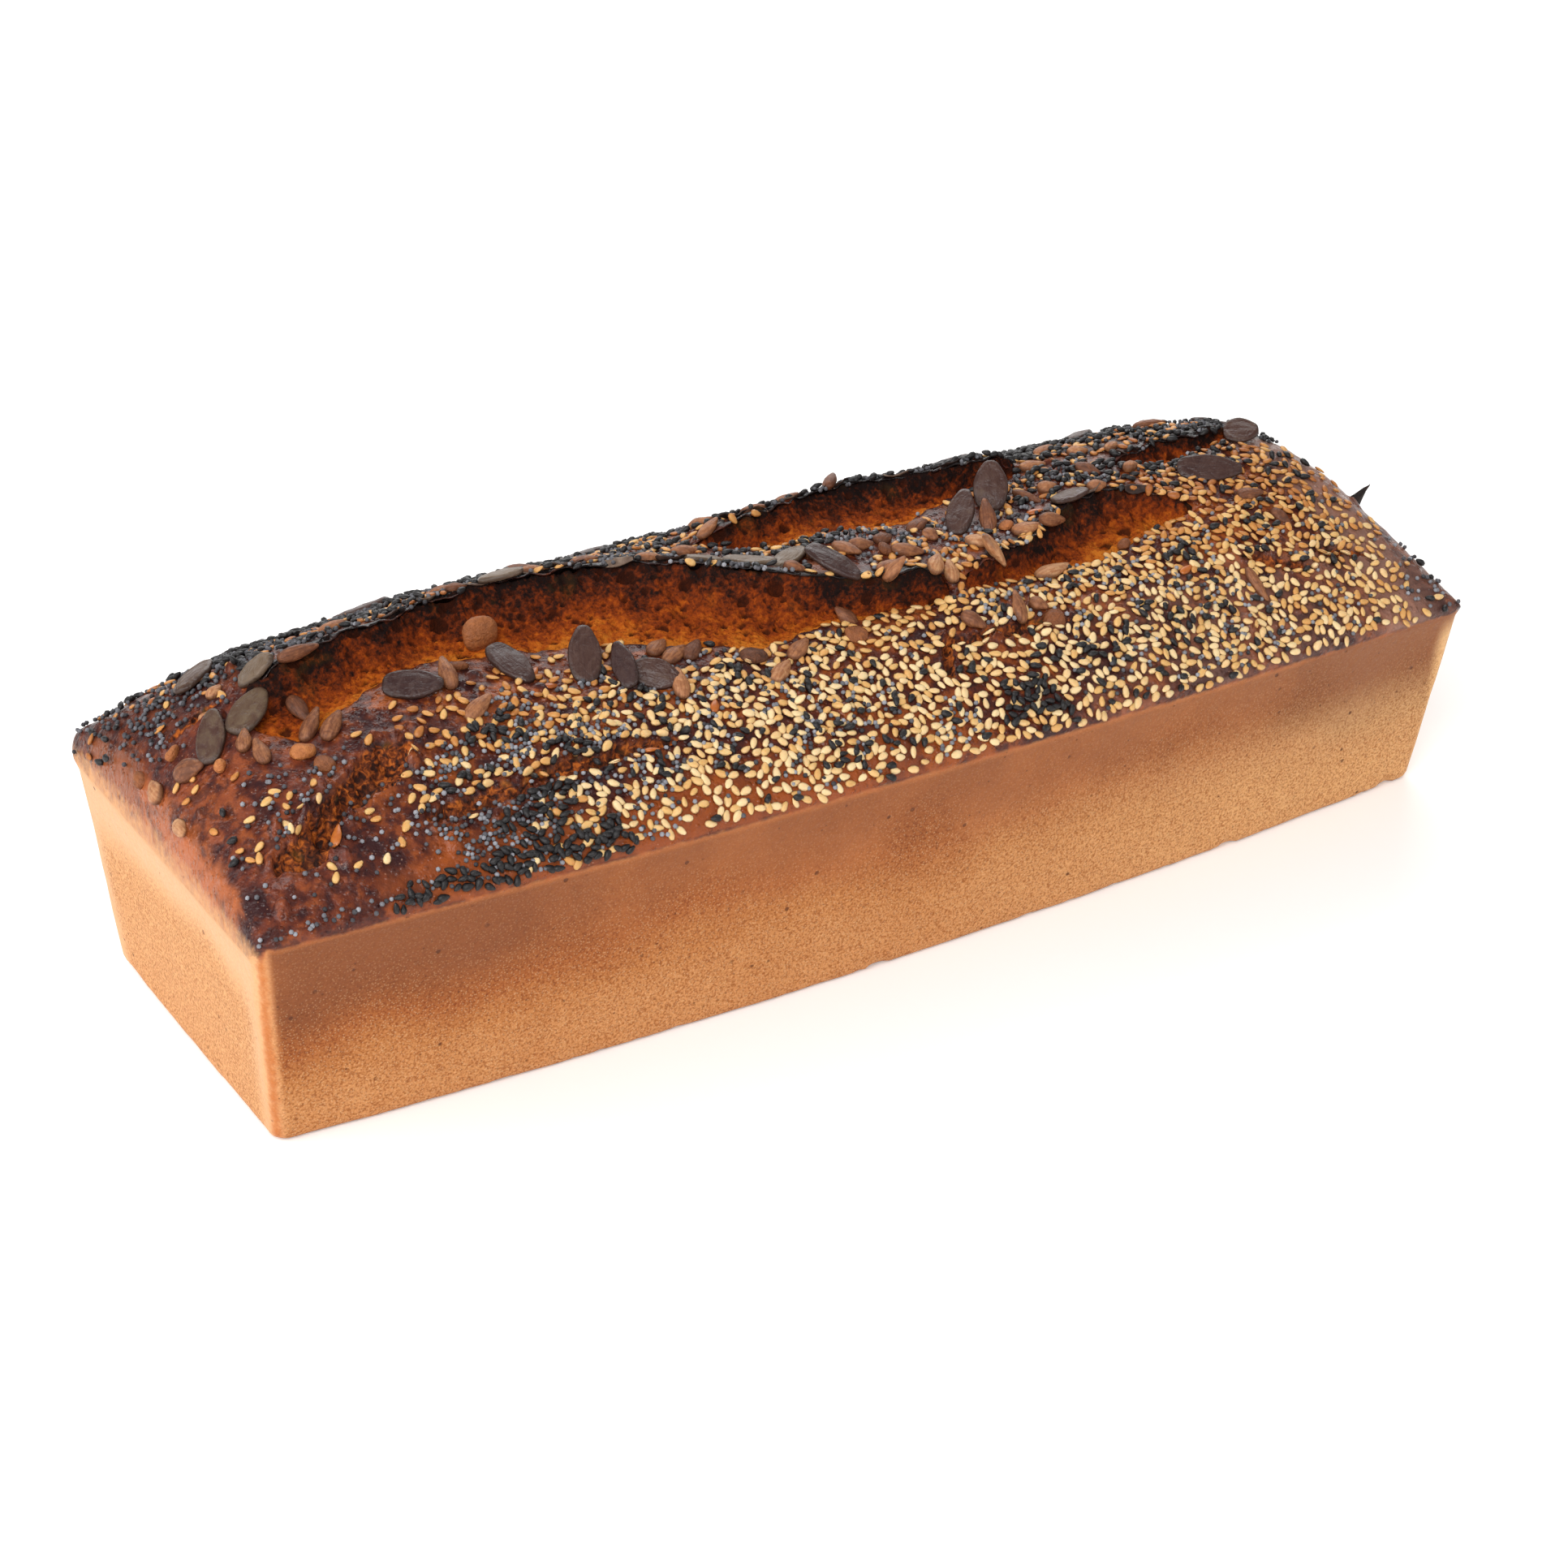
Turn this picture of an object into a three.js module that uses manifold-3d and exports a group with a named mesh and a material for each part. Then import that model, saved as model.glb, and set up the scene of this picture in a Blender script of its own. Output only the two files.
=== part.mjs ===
// A seeded rye bread loaf, baked in a long tin, as one solid in millimetres, +Z up.
// The origin is the centre of its flat bottom. +X runs along the loaf, and -Y is its front wall.
// The top crust has burst into four open splits, and large seeds are baked into it.
import * as THREE from "three";
import { mergeVertices } from "three/addons/utils/BufferGeometryUtils.js";
import Module from "manifold-3d";

const wasm = await Module();
wasm.setup();

// The tinned part: the rim is the line where the four walls end and the top crust begins.
const rimLength = 345;
const rimWidth = 111;
const rimBow = 5.4; // how far the middle of a long wall bulges out past its ends
const rimCorner = 4.4;
const rimHeight = 58.7;
const rimTilt = 2.2; // the -X end of the rim is this much higher than its middle
const rimCrown = 0.8;
const floorLength = 335.2;
const floorWidth = 92.6;
const floorBow = 7.1;
const floorCorner = 3.6;
const floorFillet = 2.6;

// The domed top crust above the rim.
const domeRise = 29.6;
const domeEndPower = 8.6;
const domeRightPower = 12; // the +X end is blunter
const domeEndFall = 0.74;
const domeSidePower = 2;
const domeSideFall = 0.8;
const domeLean = 0.12; // how far the top line sits behind the middle, as a share of the half width
const swell = { height: 0.7, along: 23, across: 17, shortHeight: 0.45, shortAlong: 11, shortAcross: 13 };

// Each split has a low front lip and a raised back lip, [x, y] from end to end, and crumb between them.
// drop and lift are how far the lips leave the dome, ear is the crust's step above the crumb, and dip the hollow.
const lipFade = { front: 11, back: 10 };
const splits = [
  {
    from: -150, to: 34, taper: 13, drop: 2.8, lift: 5.4, ear: 2.2, dip: 3.6,
    front: [[-172, -10], [-150, -5], [-145, -9], [-141, -12.5], [-136, -11.5], [-130, -8.5], [-122, -6],
      [-114, -3.5], [-106, -1.5], [-98, -1], [-90, -2.5], [-80, -5], [-69, -7], [-58, -10],
      [-50, -14], [-32, -22], [-22, -24.5], [-8, -22], [8, -22.5], [28, -25.5]],
    back: [[-172, 4], [-150, 5], [-141, 6], [-126, 9], [-107, 11.5], [-95, 16], [-84, 16.5], [-70, 15.5],
      [-56, 13], [-38, 7], [-22, -4], [-10, -11], [2, -17.5], [28, -22]],
  },
  {
    from: 32, to: 120, taper: 14, drop: 2, lift: 2, ear: 1.4, dip: 3.2,
    front: [[28, -25.5], [36, -26.5], [50, -23.5], [62, -23.5], [72, -23.5], [83, -21.5], [95, -19.5],
      [108, -19], [117, -19.5], [140, -22], [172, -22]],
    back: [[28, -22], [38, -21], [50, -17], [62, -14.5], [68, -11], [74, -7.5], [82, -6], [93, -8],
      [103, -12], [112, -15.5], [140, -9], [172, -7]],
  },
  {
    from: -22, to: 82, taper: 14, drop: 1.2, lift: 5.2, ear: 2, dip: 3.4,
    front: [[-172, 15], [-120, 20], [-95, 24], [-84, 25], [-52, 21], [-28, 17], [-14, 13], [-3, 8], [9, 7],
      [21, 5], [32, 6], [42, 8.5], [56, 12], [72, 14.5]],
    back: [[-172, 28], [-120, 33], [-88, 35], [-52, 31], [-28, 23], [-16, 18], [-3, 19], [8, 21],
      [20, 24.5], [32, 25.5], [42, 22.5], [56, 18.5], [72, 18]],
  },
  {
    from: 98, to: 146, taper: 12, drop: 0.8, lift: 1.1, ear: 1.4, dip: 2.2,
    front: [[72, 14.5], [86, 11], [98, 8.5], [107, 6], [116, 3.5], [126, 4.5], [137, 7.5], [172, 6]],
    back: [[72, 18], [86, 16.5], [98, 11], [108, 10.5], [120, 12.5], [130, 12.5], [138, 11.5], [172, 22]],
  },
];
const lowerSplits = [splits[0], splits[1]];
const upperSplits = [splits[2], splits[3]];

// Short cracks in the front slope, each a lens-shaped cut from one end to the other.
const cracks = [
  { ends: [[-160, -42], [-141, -36.5]], wide: 6, deep: 3 },
  { ends: [[-147, -37], [-119, -24]], wide: 7, deep: 3 },
  { ends: [[-124, -43.5], [-97, -43]], wide: 3, deep: 2.2 },
  { ends: [[-101, -42.5], [-58, -42]], wide: 2.6, deep: 2 },
  { ends: [[16, -46], [22, -36]], wide: 3, deep: 2.6 },
  { ends: [[17, -37], [55, -39.5]], wide: 2.4, deep: 2 },
  { ends: [[112, -35.5], [131, -42]], wide: 2.6, deep: 2 },
  { ends: [[132, -36.5], [150, -40]], wide: 2, deep: 1.6 },
];

// Nicks where the bottom edge of the front wall has broken away.
const nicks = [-8, 102, 158];
const nickSize = { long: 5, deep: 2.6, tall: 3.4 };

// A burnt horn of crust that stands out of the +X end.
const horn = { foot: [167, -10.5, 64], tip: [172.3, -11.5, 70.5], radius: 1.8, sides: 5 };

// Seeds, each with its own length, width and thickness.
const pumpkinSeed = { long: 15.5, wide: 8, thick: 3, sides: 7, rings: 5, sunk: 0.35, point: 0.35 };
const sunflowerSeed = { long: 9.5, wide: 4.6, thick: 2.8, sides: 6, rings: 4, sunk: 0.4, point: 0.4 };
const sesameSeed = { long: 3.2, wide: 2, thick: 1.2, sides: 5, rings: 3, sunk: 0.35, point: 0.3 };

// Pumpkin seeds lie where the dough was heaped with them: [x, y, turn in degrees].
const pumpkinPlaces = [
  [-156, 1, 50], [-147, 1, 32], [-140.5, 9, -40], [-111, -11, -32], [-85.5, -11, -78], [-68.5, -15, 68],
  [-61.5, -22, 79], [-56.5, -24, -30], [-74, 17, -22], [3, -12, -60], [61, 5, 56], [47.5, -1.5, 46],
  [122, -6.5, -26], [143, 7.5, -60], [-25, 3, -10], [-14.5, -1, -26], [-4.5, -3.5, 25], [-102, 36, -30],
  [-38, 41, 15], [22, 42, 25], [68, 36, -12], [112, 37, 48], [150, 26, -35], [-148, 30, 40],
];

// Sunflower seeds follow the splits' lips, and some lie on their own: [x, y, turn in degrees].
const sunflowerPlaces = [
  [-136, -2, -85], [-136, -9, 38], [-151.5, -6.5, 55], [-150, -12, 80], [-102, -10.5, 80], [-100, -22, 31],
  [-132, 6.5, 10], [-116, 22, 15], [-64, 17, 15], [-50, 18, 10], [-139, -20, -28], [-168, -10, 84],
  [-49, -16, 39], [-41.5, -20, 43], [-17, -28.5, 34], [-25, -33.5, 37], [-51, -30, 78], [-29, -27, -17],
  [-1, -28, -18], [10.5, -6, -70], [24.5, -12, -26], [16, -19, 6], [23, -3.5, 26], [35.5, 0, 25],
  [29, -20, 60], [53, -5, 68], [46, -13, -36], [45, -19, -24], [60.5, -24, 8], [42, -34.5, 100],
  [29.5, -34.5, -56], [50, -35.5, -49], [70, 1, -60], [81, 15, -10], [76.5, -5, 5], [60.5, -12, -7],
  [127, -18, -6], [131, -26.5, -73], [111, -43, -83], [104, 3, 40], [92, 6, -63], [107.5, 16.5, 35],
  [-90, 44, 10], [-60, 33, -40], [-10, 30, -68], [40, 33, 30], [93, 27, 23], [130, 30, -15],
];

// Sesame fills the front slope and part of the back, by a seeded draw.
const sesameCount = 32;
const sesameField = { fromX: -160, toX: 166, fromY: -50, toY: 52, clear: 5 };
const drawSeed = 20261;

// How finely the surfaces are divided. The rows across the top follow the splits' lips.
const cellsAlong = 52;
const endCrowding = 0.35;
const slopeRows = 6;
const bridgeRows = 3;
const splitRows = [0, 0.28, 0.6, 0.9, 1]; // shares of the way from the front lip to the back lip
const rimCrowding = 1.35;
const wallLevels = [-1, 1.1, floorFillet, 31];
const floorCut = 1; // how far the uncut body reaches below the flat bottom

function smooth(t) {
  const s = Math.min(1, Math.max(0, t));
  return s * s * (3 - 2 * s);
}

function mix(a, b, t) {
  return a + (b - a) * t;
}

// A smooth line through [x, value] points: a cubic on each span, sloped by the points on either side.
function along(points, x) {
  const last = points.length - 1;
  if (x <= points[0][0]) return points[0][1];
  if (x >= points[last][0]) return points[last][1];
  let i = 0;
  while (x > points[i + 1][0]) i += 1;
  const slopeAt = (k) => {
    const p = points[Math.max(0, k - 1)];
    const q = points[Math.min(last, k + 1)];
    return (q[1] - p[1]) / (q[0] - p[0]);
  };
  const [x0, y0] = points[i];
  const [x1, y1] = points[i + 1];
  const span = x1 - x0;
  const t = (x - x0) / span;
  const t2 = t * t;
  const t3 = t2 * t;
  const ends = (2 * t3 - 3 * t2 + 1) * y0 + (3 * t2 - 2 * t3) * y1;
  return ends + span * ((t3 - 2 * t2 + t) * slopeAt(i) + (t3 - t2) * slopeAt(i + 1));
}

function rimAt(x) {
  const share = x / (rimLength / 2);
  return rimHeight - rimTilt * share + rimCrown * (1 - share * share);
}

// Half the loaf's width at the rim, at the place x along it.
function halfWidthAt(x) {
  const share = x / (rimLength / 2);
  return rimWidth / 2 + rimBow * (1 - share * share);
}

// The dome falls to nothing at both ends and both long rims.
function domeAt(x, y) {
  const endShare = Math.min(1, Math.abs(x) / (rimLength / 2));
  const sideShare = Math.max(-1, Math.min(1, y / halfWidthAt(x)));
  const leaned = sideShare - domeLean * (1 - sideShare * sideShare);
  const power = x > 0 ? domeRightPower : domeEndPower;
  const end = (1 - endShare ** power) ** domeEndFall;
  const side = (1 - Math.abs(leaned) ** domeSidePower) ** domeSideFall;
  return domeRise * end * side;
}

// Low swells in the crust, which die out at the rim.
function swellAt(x, y) {
  const long = swell.height * Math.sin(x / swell.along + 1.3) * Math.cos(y / swell.across + 0.4);
  const short = swell.shortHeight * Math.sin(x / swell.shortAlong + y / swell.shortAcross);
  return (long + short) * Math.min(1, domeAt(x, y) / domeRise);
}

function splitRelief(split, x, y) {
  const open = smooth((x - split.from) / split.taper) * smooth((split.to - x) / split.taper);
  const front = along(split.front, x);
  const back = along(split.back, x);
  if (open === 0) return 0;
  if (y <= front) return -open * split.drop * Math.exp((y - front) / lipFade.front);
  if (y >= back) return open * split.lift * Math.exp((back - y) / lipFade.back);
  const share = (y - front) / (back - front);
  const ramp = mix(-split.drop, split.lift - split.ear, share);
  return open * (ramp - split.dip * Math.sin(Math.PI * share));
}

function crustAt(x, y) {
  const relief = splits.reduce((sum, split) => sum + splitRelief(split, x, y), 0);
  return rimAt(x) + domeAt(x, y) + swellAt(x, y) + relief;
}

// The crust's outward direction, from its slope over a short step.
function crustNormal(x, y) {
  const step = 1.5;
  const alongX = (crustAt(x + step, y) - crustAt(x - step, y)) / (2 * step);
  const alongY = (crustAt(x, y + step) - crustAt(x, y - step)) / (2 * step);
  return new THREE.Vector3(-alongX, -alongY, 1).normalize();
}

// The row lines across the top: the front rim, both lips of the lower and upper splits, and the back rim.
function rowPlaces(x) {
  const pick = (pair, lip) => along((x < pair[0][lip].at(-1)[0] ? pair[0] : pair[1])[lip], x);
  const halfWidth = halfWidthAt(x);
  const lower = [pick(lowerSplits, "front"), pick(lowerSplits, "back")];
  const upper = [pick(upperSplits, "front"), pick(upperSplits, "back")];
  const rows = [];
  for (let i = 0; i < slopeRows; i += 1) {
    rows.push(mix(-halfWidth, lower[0], (i / slopeRows) ** rimCrowding));
  }
  splitRows.forEach((share) => rows.push(mix(lower[0], lower[1], share)));
  for (let i = 1; i < bridgeRows; i += 1) rows.push(mix(lower[1], upper[0], i / bridgeRows));
  splitRows.forEach((share) => rows.push(mix(upper[0], upper[1], share)));
  for (let i = slopeRows - 1; i >= 0; i -= 1) {
    rows.push(mix(halfWidth, upper[1], (i / slopeRows) ** rimCrowding));
  }
  return rows.map((y) => y / halfWidth);
}

const rowCount = rowPlaces(0).length - 1;

// A point of the outline at a height: a rectangle with bowed long sides, its corners drawn into arcs.
function outlinePoint(xShare, yShare, height, x) {
  const t = Math.max(0, height) / rimAt(x);
  const inset = floorFillet - height;
  const fillet = inset > 0 ? floorFillet - Math.sqrt(Math.max(0, floorFillet ** 2 - inset ** 2)) : 0;
  const halfLength = mix(floorLength, rimLength, t) / 2 - fillet;
  const bow = mix(floorBow, rimBow, t) * (1 - xShare * xShare);
  const halfWidth = mix(floorWidth, rimWidth, t) / 2 + bow - fillet;
  const corner = mix(floorCorner, rimCorner, t);
  const reach = [Math.abs(xShare) * halfLength, Math.abs(yShare) * halfWidth];
  const past = [(reach[0] - halfLength + corner) / corner, (reach[1] - halfWidth + corner) / corner];
  if (past[0] > 0 && past[1] > 0) {
    const scale = Math.max(past[0], past[1]) / Math.hypot(past[0], past[1]);
    reach[0] = halfLength - corner + corner * past[0] * scale;
    reach[1] = halfWidth - corner + corner * past[1] * scale;
  }
  return [Math.sign(xShare) * reach[0], Math.sign(yShare) * reach[1]];
}

function solidOf(geometry) {
  const bare = geometry.clone();
  bare.deleteAttribute("normal");
  bare.deleteAttribute("uv");
  const merged = mergeVertices(bare, 1e-4);
  return new wasm.Manifold(
    new wasm.Mesh({
      numProp: 3,
      vertProperties: merged.attributes.position.array,
      triVerts: new Uint32Array(merged.index.array),
    }),
  );
}

// The loaf without its seeds: a finely divided box, moved point by point onto the walls and the crust.
function loafBody() {
  const levels = wallLevels.length;
  const body = new THREE.BoxGeometry(2, 2, 2, cellsAlong, rowCount, levels);
  const place = body.attributes.position;
  for (let i = 0; i < place.count; i += 1) {
    const u = place.getX(i);
    const xShare = mix(u, Math.sin((u * Math.PI) / 2), endCrowding);
    const x = (xShare * rimLength) / 2;
    const row = Math.round(((place.getY(i) + 1) / 2) * rowCount);
    const level = Math.round(((place.getZ(i) + 1) / 2) * levels);
    const yShare = rowPlaces(x)[row];
    const height = level < levels ? wallLevels[level] : rimAt(x);
    const [px, py] = outlinePoint(xShare, yShare, height, x);
    const inside = row > 0 && row < rowCount && Math.abs(u) < 1;
    const z = level === levels && inside ? crustAt(px, py) : height;
    place.setXYZ(i, px, py, z);
  }
  return solidOf(body);
}

// A flat seed or lens: a ball with one end drawn to a point, given its three sizes.
function lens(size) {
  const ball = new THREE.SphereGeometry(1, size.sides, size.rings);
  ball.rotateZ(Math.PI / 2);
  const place = ball.attributes.position;
  for (let i = 0; i < place.count; i += 1) {
    const x = place.getX(i);
    const narrow = 1 - size.point * Math.max(0, x);
    place.setXYZ(
      i,
      (x * size.long) / 2,
      (place.getY(i) * narrow * size.wide) / 2,
      (place.getZ(i) * narrow * size.thick) / 2,
    );
  }
  return ball;
}

// Lays a shape on the crust at [x, y], turned in its plane, with its middle this far above the surface.
function layOnCrust(geometry, x, y, turnDegrees, above) {
  const normal = crustNormal(x, y);
  const turn = THREE.MathUtils.degToRad(turnDegrees);
  const heading = new THREE.Vector3(Math.cos(turn), Math.sin(turn), 0);
  const side = new THREE.Vector3().crossVectors(normal, heading).normalize();
  heading.crossVectors(side, normal);
  const frame = new THREE.Matrix4().makeBasis(heading, side, normal);
  frame.setPosition(new THREE.Vector3(x, y, crustAt(x, y)).addScaledVector(normal, above));
  return geometry.applyMatrix4(frame);
}

function seedSolid(size, [x, y, turn]) {
  return solidOf(layOnCrust(lens(size), x, y, turn, size.thick * (0.5 - size.sunk)));
}

function crackSolid({ ends, wide, deep }) {
  const [[x0, y0], [x1, y1]] = ends;
  const length = Math.hypot(x1 - x0, y1 - y0);
  const size = { long: length * 1.08, wide, thick: deep * 2, sides: 6, rings: 6, point: 0 };
  const turn = THREE.MathUtils.radToDeg(Math.atan2(y1 - y0, x1 - x0));
  return solidOf(layOnCrust(lens(size), (x0 + x1) / 2, (y0 + y1) / 2, turn, 0));
}

function hornSolid() {
  const foot = new THREE.Vector3(...horn.foot);
  const tip = new THREE.Vector3(...horn.tip);
  const reach = new THREE.Vector3().subVectors(tip, foot);
  const cone = new THREE.ConeGeometry(horn.radius, reach.length(), horn.sides);
  const turn = new THREE.Quaternion().setFromUnitVectors(new THREE.Vector3(0, 1, 0), reach.normalize());
  cone.applyQuaternion(turn);
  cone.translate(...foot.add(tip).multiplyScalar(0.5).toArray());
  return solidOf(cone);
}

function nickSolid(x) {
  const [, y] = outlinePoint(x / (rimLength / 2), -1, 0, x);
  const nick = new THREE.SphereGeometry(1, 6, 4);
  nick.scale(nickSize.long / 2, nickSize.deep, nickSize.tall);
  nick.translate(x, y - floorFillet / 2, 0);
  return solidOf(nick);
}

// A small repeatable draw of numbers from 0 to 1.
function drawFrom(seed) {
  let state = seed;
  return () => {
    state = (state * 1103515245 + 12345) % 2147483648;
    return state / 2147483648;
  };
}

// Places for sesame: random, each clear of every seed already laid, and off the crumb.
function sesamePlaces() {
  const draw = drawFrom(drawSeed);
  const taken = [...pumpkinPlaces, ...sunflowerPlaces];
  const places = [];
  while (places.length < sesameCount) {
    const x = mix(sesameField.fromX, sesameField.toX, draw());
    const y = mix(sesameField.fromY, sesameField.toY, draw());
    const turn = draw() * 180;
    const free = taken.every((other) => {
      const gap = Math.hypot(other[0] - x, other[1] - y);
      return gap > sesameField.clear + (other.length > 3 ? 0 : 4);
    });
    const onCrumb = splits.some((split) => {
      const between = y > along(split.front, x) - 2 && y < along(split.back, x) + 2;
      return between && x > split.from && x < split.to;
    });
    if (free && !onCrumb) {
      places.push([x, y, turn]);
      taken.push([x, y, turn, "small"]);
    }
  }
  return places;
}

function cutAll(solid, cutters) {
  return cutters.reduce((left, cutter) => left.subtract(cutter), solid);
}

function joinAll(solid, added) {
  return added.reduce((whole, piece) => whole.add(piece), solid);
}

// A seed that bridges a dip without touching the crust is left out.
function largestBody(solid) {
  return solid.decompose().reduce((a, b) => (b.volume() > a.volume() ? b : a));
}

function geometryOf(solid) {
  const mesh = solid.getMesh();
  const place = new Float32Array(mesh.numVert * 3);
  for (let i = 0; i < mesh.numVert; i += 1) {
    place.set(mesh.vertProperties.subarray(i * mesh.numProp, i * mesh.numProp + 3), i * 3);
  }
  const geometry = new THREE.BufferGeometry();
  geometry.setAttribute("position", new THREE.BufferAttribute(place, 3));
  geometry.setIndex(new THREE.BufferAttribute(new Uint32Array(mesh.triVerts), 1));
  geometry.computeVertexNormals();
  return geometry;
}

const belowFloor = new THREE.BoxGeometry(rimLength + 20, rimWidth + 40, 2 * floorCut);
belowFloor.translate(0, 0, -floorCut);

const bareLoaf = cutAll(loafBody(), [
  solidOf(belowFloor),
  ...cracks.map(crackSolid),
  ...nicks.map(nickSolid),
]);
const seededLoaf = largestBody(
  joinAll(bareLoaf, [
    hornSolid(),
    ...pumpkinPlaces.map((place) => seedSolid(pumpkinSeed, place)),
    ...sunflowerPlaces.map((place) => seedSolid(sunflowerSeed, place)),
    ...sesamePlaces().map((place) => seedSolid(sesameSeed, place)),
  ]),
);

const crust = new THREE.MeshStandardMaterial({ color: 0xa2642f, roughness: 0.75, metalness: 0 });
const loaf = new THREE.Mesh(geometryOf(seededLoaf), crust);
loaf.name = "loaf";

const ryeBreadLoaf = new THREE.Group();
ryeBreadLoaf.add(loaf);
export default ryeBreadLoaf;
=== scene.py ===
# A seeded rye bread loaf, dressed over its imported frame: the crust, the open crumb, then the seeds baked in.
# Shapes are worked out in millimetres, as in the part's source, and put into the meshes in metres.
import math
import bpy
import numpy as np
from mathutils import Euler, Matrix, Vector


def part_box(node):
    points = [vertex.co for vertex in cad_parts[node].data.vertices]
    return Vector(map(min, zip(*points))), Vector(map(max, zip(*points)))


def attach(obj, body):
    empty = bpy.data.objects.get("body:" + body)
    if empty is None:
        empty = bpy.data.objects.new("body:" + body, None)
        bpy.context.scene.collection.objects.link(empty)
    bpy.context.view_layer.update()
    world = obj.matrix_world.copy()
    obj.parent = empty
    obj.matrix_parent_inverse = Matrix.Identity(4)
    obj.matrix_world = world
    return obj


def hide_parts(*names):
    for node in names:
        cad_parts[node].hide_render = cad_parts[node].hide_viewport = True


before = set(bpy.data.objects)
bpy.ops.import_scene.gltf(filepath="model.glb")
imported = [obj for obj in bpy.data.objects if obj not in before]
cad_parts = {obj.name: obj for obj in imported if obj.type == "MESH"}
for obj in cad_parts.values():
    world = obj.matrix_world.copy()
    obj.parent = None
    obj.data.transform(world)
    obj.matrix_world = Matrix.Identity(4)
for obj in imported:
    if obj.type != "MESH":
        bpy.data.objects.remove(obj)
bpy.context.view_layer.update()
millimetre = 0.001

loafLow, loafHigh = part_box("loaf")
loafLength = (loafHigh.x - loafLow.x) / millimetre
loafWidth = (loafHigh.y - loafLow.y) / millimetre

cameraView = {
    "place": (-0.426268, -0.688636, 0.492397),
    "turn": (59.946, -0.515, -31.264),  # degrees about X, Y and Z
    "lens": 83.84,
    "sensor": 36,
    "near": 0.02,
    "far": 50,
}


def link(thing):
    bpy.context.scene.collection.objects.link(thing)


def placeCamera():
    lens = bpy.data.cameras.new("camera")
    lens.lens = cameraView["lens"]
    lens.sensor_width = cameraView["sensor"]
    lens.clip_start = cameraView["near"]
    lens.clip_end = cameraView["far"]
    camera = bpy.data.objects.new("camera", lens)
    camera.location = cameraView["place"]
    camera.rotation_euler = Euler([math.radians(a) for a in cameraView["turn"]], "XYZ")
    link(camera)
    bpy.context.scene.camera = camera


placeCamera()
print("camera placed")


# Numbers and noise, worked out on whole arrays.

def mix(a, b, t):
    return a + (b - a) * t


def smooth(t):
    # 0 to 1 with no slope at either end: t * t * (3 - 2 t), held inside 0 and 1
    s = np.clip(t, 0, 1)
    return s * s * (3 - 2 * s)


def curveAt(points, x):
    # a smooth line through [x, value] points: a cubic on each span, sloped by the points on either side
    px, py = np.array(points, float).T
    last = len(px) - 1
    before = np.maximum(np.arange(last + 1) - 1, 0)
    after = np.minimum(np.arange(last + 1) + 1, last)
    slope = (py[after] - py[before]) / (px[after] - px[before])
    held = np.clip(x, px[0], px[-1])
    i = np.clip(np.searchsorted(px, held, side="right") - 1, 0, last - 1)
    span = px[i + 1] - px[i]
    t = (held - px[i]) / span
    ends = (2 * t**3 - 3 * t**2 + 1) * py[i] + (3 * t**2 - 2 * t**3) * py[i + 1]
    return ends + span * ((t**3 - 2 * t**2 + t) * slope[i] + (t**3 - t**2) * slope[i + 1])


def scrambled(ix, iy, iz, salt):
    # whole numbers to a repeatable number from 0 to 1: multiplied by large odd numbers and folded, twice
    h = ix.astype(np.int64) * 374761393 + iy.astype(np.int64) * 668265263
    h = (h + iz.astype(np.int64) * 1440662683 + salt * 9791133) & 0xFFFFFFFF
    h = ((h ^ (h >> 13)) * 1274126177) & 0xFFFFFFFF
    h = ((h ^ (h >> 16)) * 461845907) & 0xFFFFFFFF
    return (h ^ (h >> 15)) / 4294967296.0


def softNoise(x, y, z, size, salt):
    # -1 to 1: random numbers on a lattice of this size, blended smoothly between the eight round a point;
    # a place may be one number for all the points
    at = [np.asarray(v, float) / size for v in np.broadcast_arrays(x, y, z)]
    low = [np.floor(v) for v in at]
    part = [smooth(v - f) for v, f in zip(at, low)]
    total = 0.0
    for corner in range(8):
        step = [corner & 1, (corner >> 1) & 1, corner >> 2]
        weight = 1.0
        for share, s in zip(part, step):
            weight = weight * (share if s else 1 - share)
        total = total + weight * scrambled(low[0] + step[0], low[1] + step[1], low[2] + step[2], salt)
    return 2 * total - 1


def roughNoise(x, y, z, size, salt, layers=3):
    # soft noise at several sizes, each half as large and half as strong as the one before
    total = 0.0
    strength = 1.0
    for layer in range(layers):
        total = total + strength * softNoise(x, y, z, size / 2**layer, salt + layer)
        strength *= 0.5
    return total


def pocketDepth(x, y, z, spacing, least, most, salt):
    # depth of round pockets: one centre in each cell of a lattice, with its own radius as a share of the
    # spacing; inside it the depth is the sphere's, and outside it 0
    cell = [np.floor(v / spacing) for v in (x, y, z)]
    depth = np.zeros_like(x)
    for a in (-1, 0, 1):
        for b in (-1, 0, 1):
            for c in (-1, 0, 1):
                at = [cell[0] + a, cell[1] + b, cell[2] + c]
                cx = (at[0] + scrambled(*at, salt)) * spacing
                cy = (at[1] + scrambled(*at, salt + 1)) * spacing
                cz = (at[2] + scrambled(*at, salt + 2)) * spacing
                radius = spacing * mix(least, most, scrambled(*at, salt + 3) ** 2)
                far = ((x - cx) ** 2 + (y - cy) ** 2 + (z - cz) ** 2) / radius**2
                depth = np.maximum(depth, radius * np.sqrt(np.clip(1 - far, 0, 1)))
    return depth


# The loaf's form, by the same formulas as the part's source.

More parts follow.
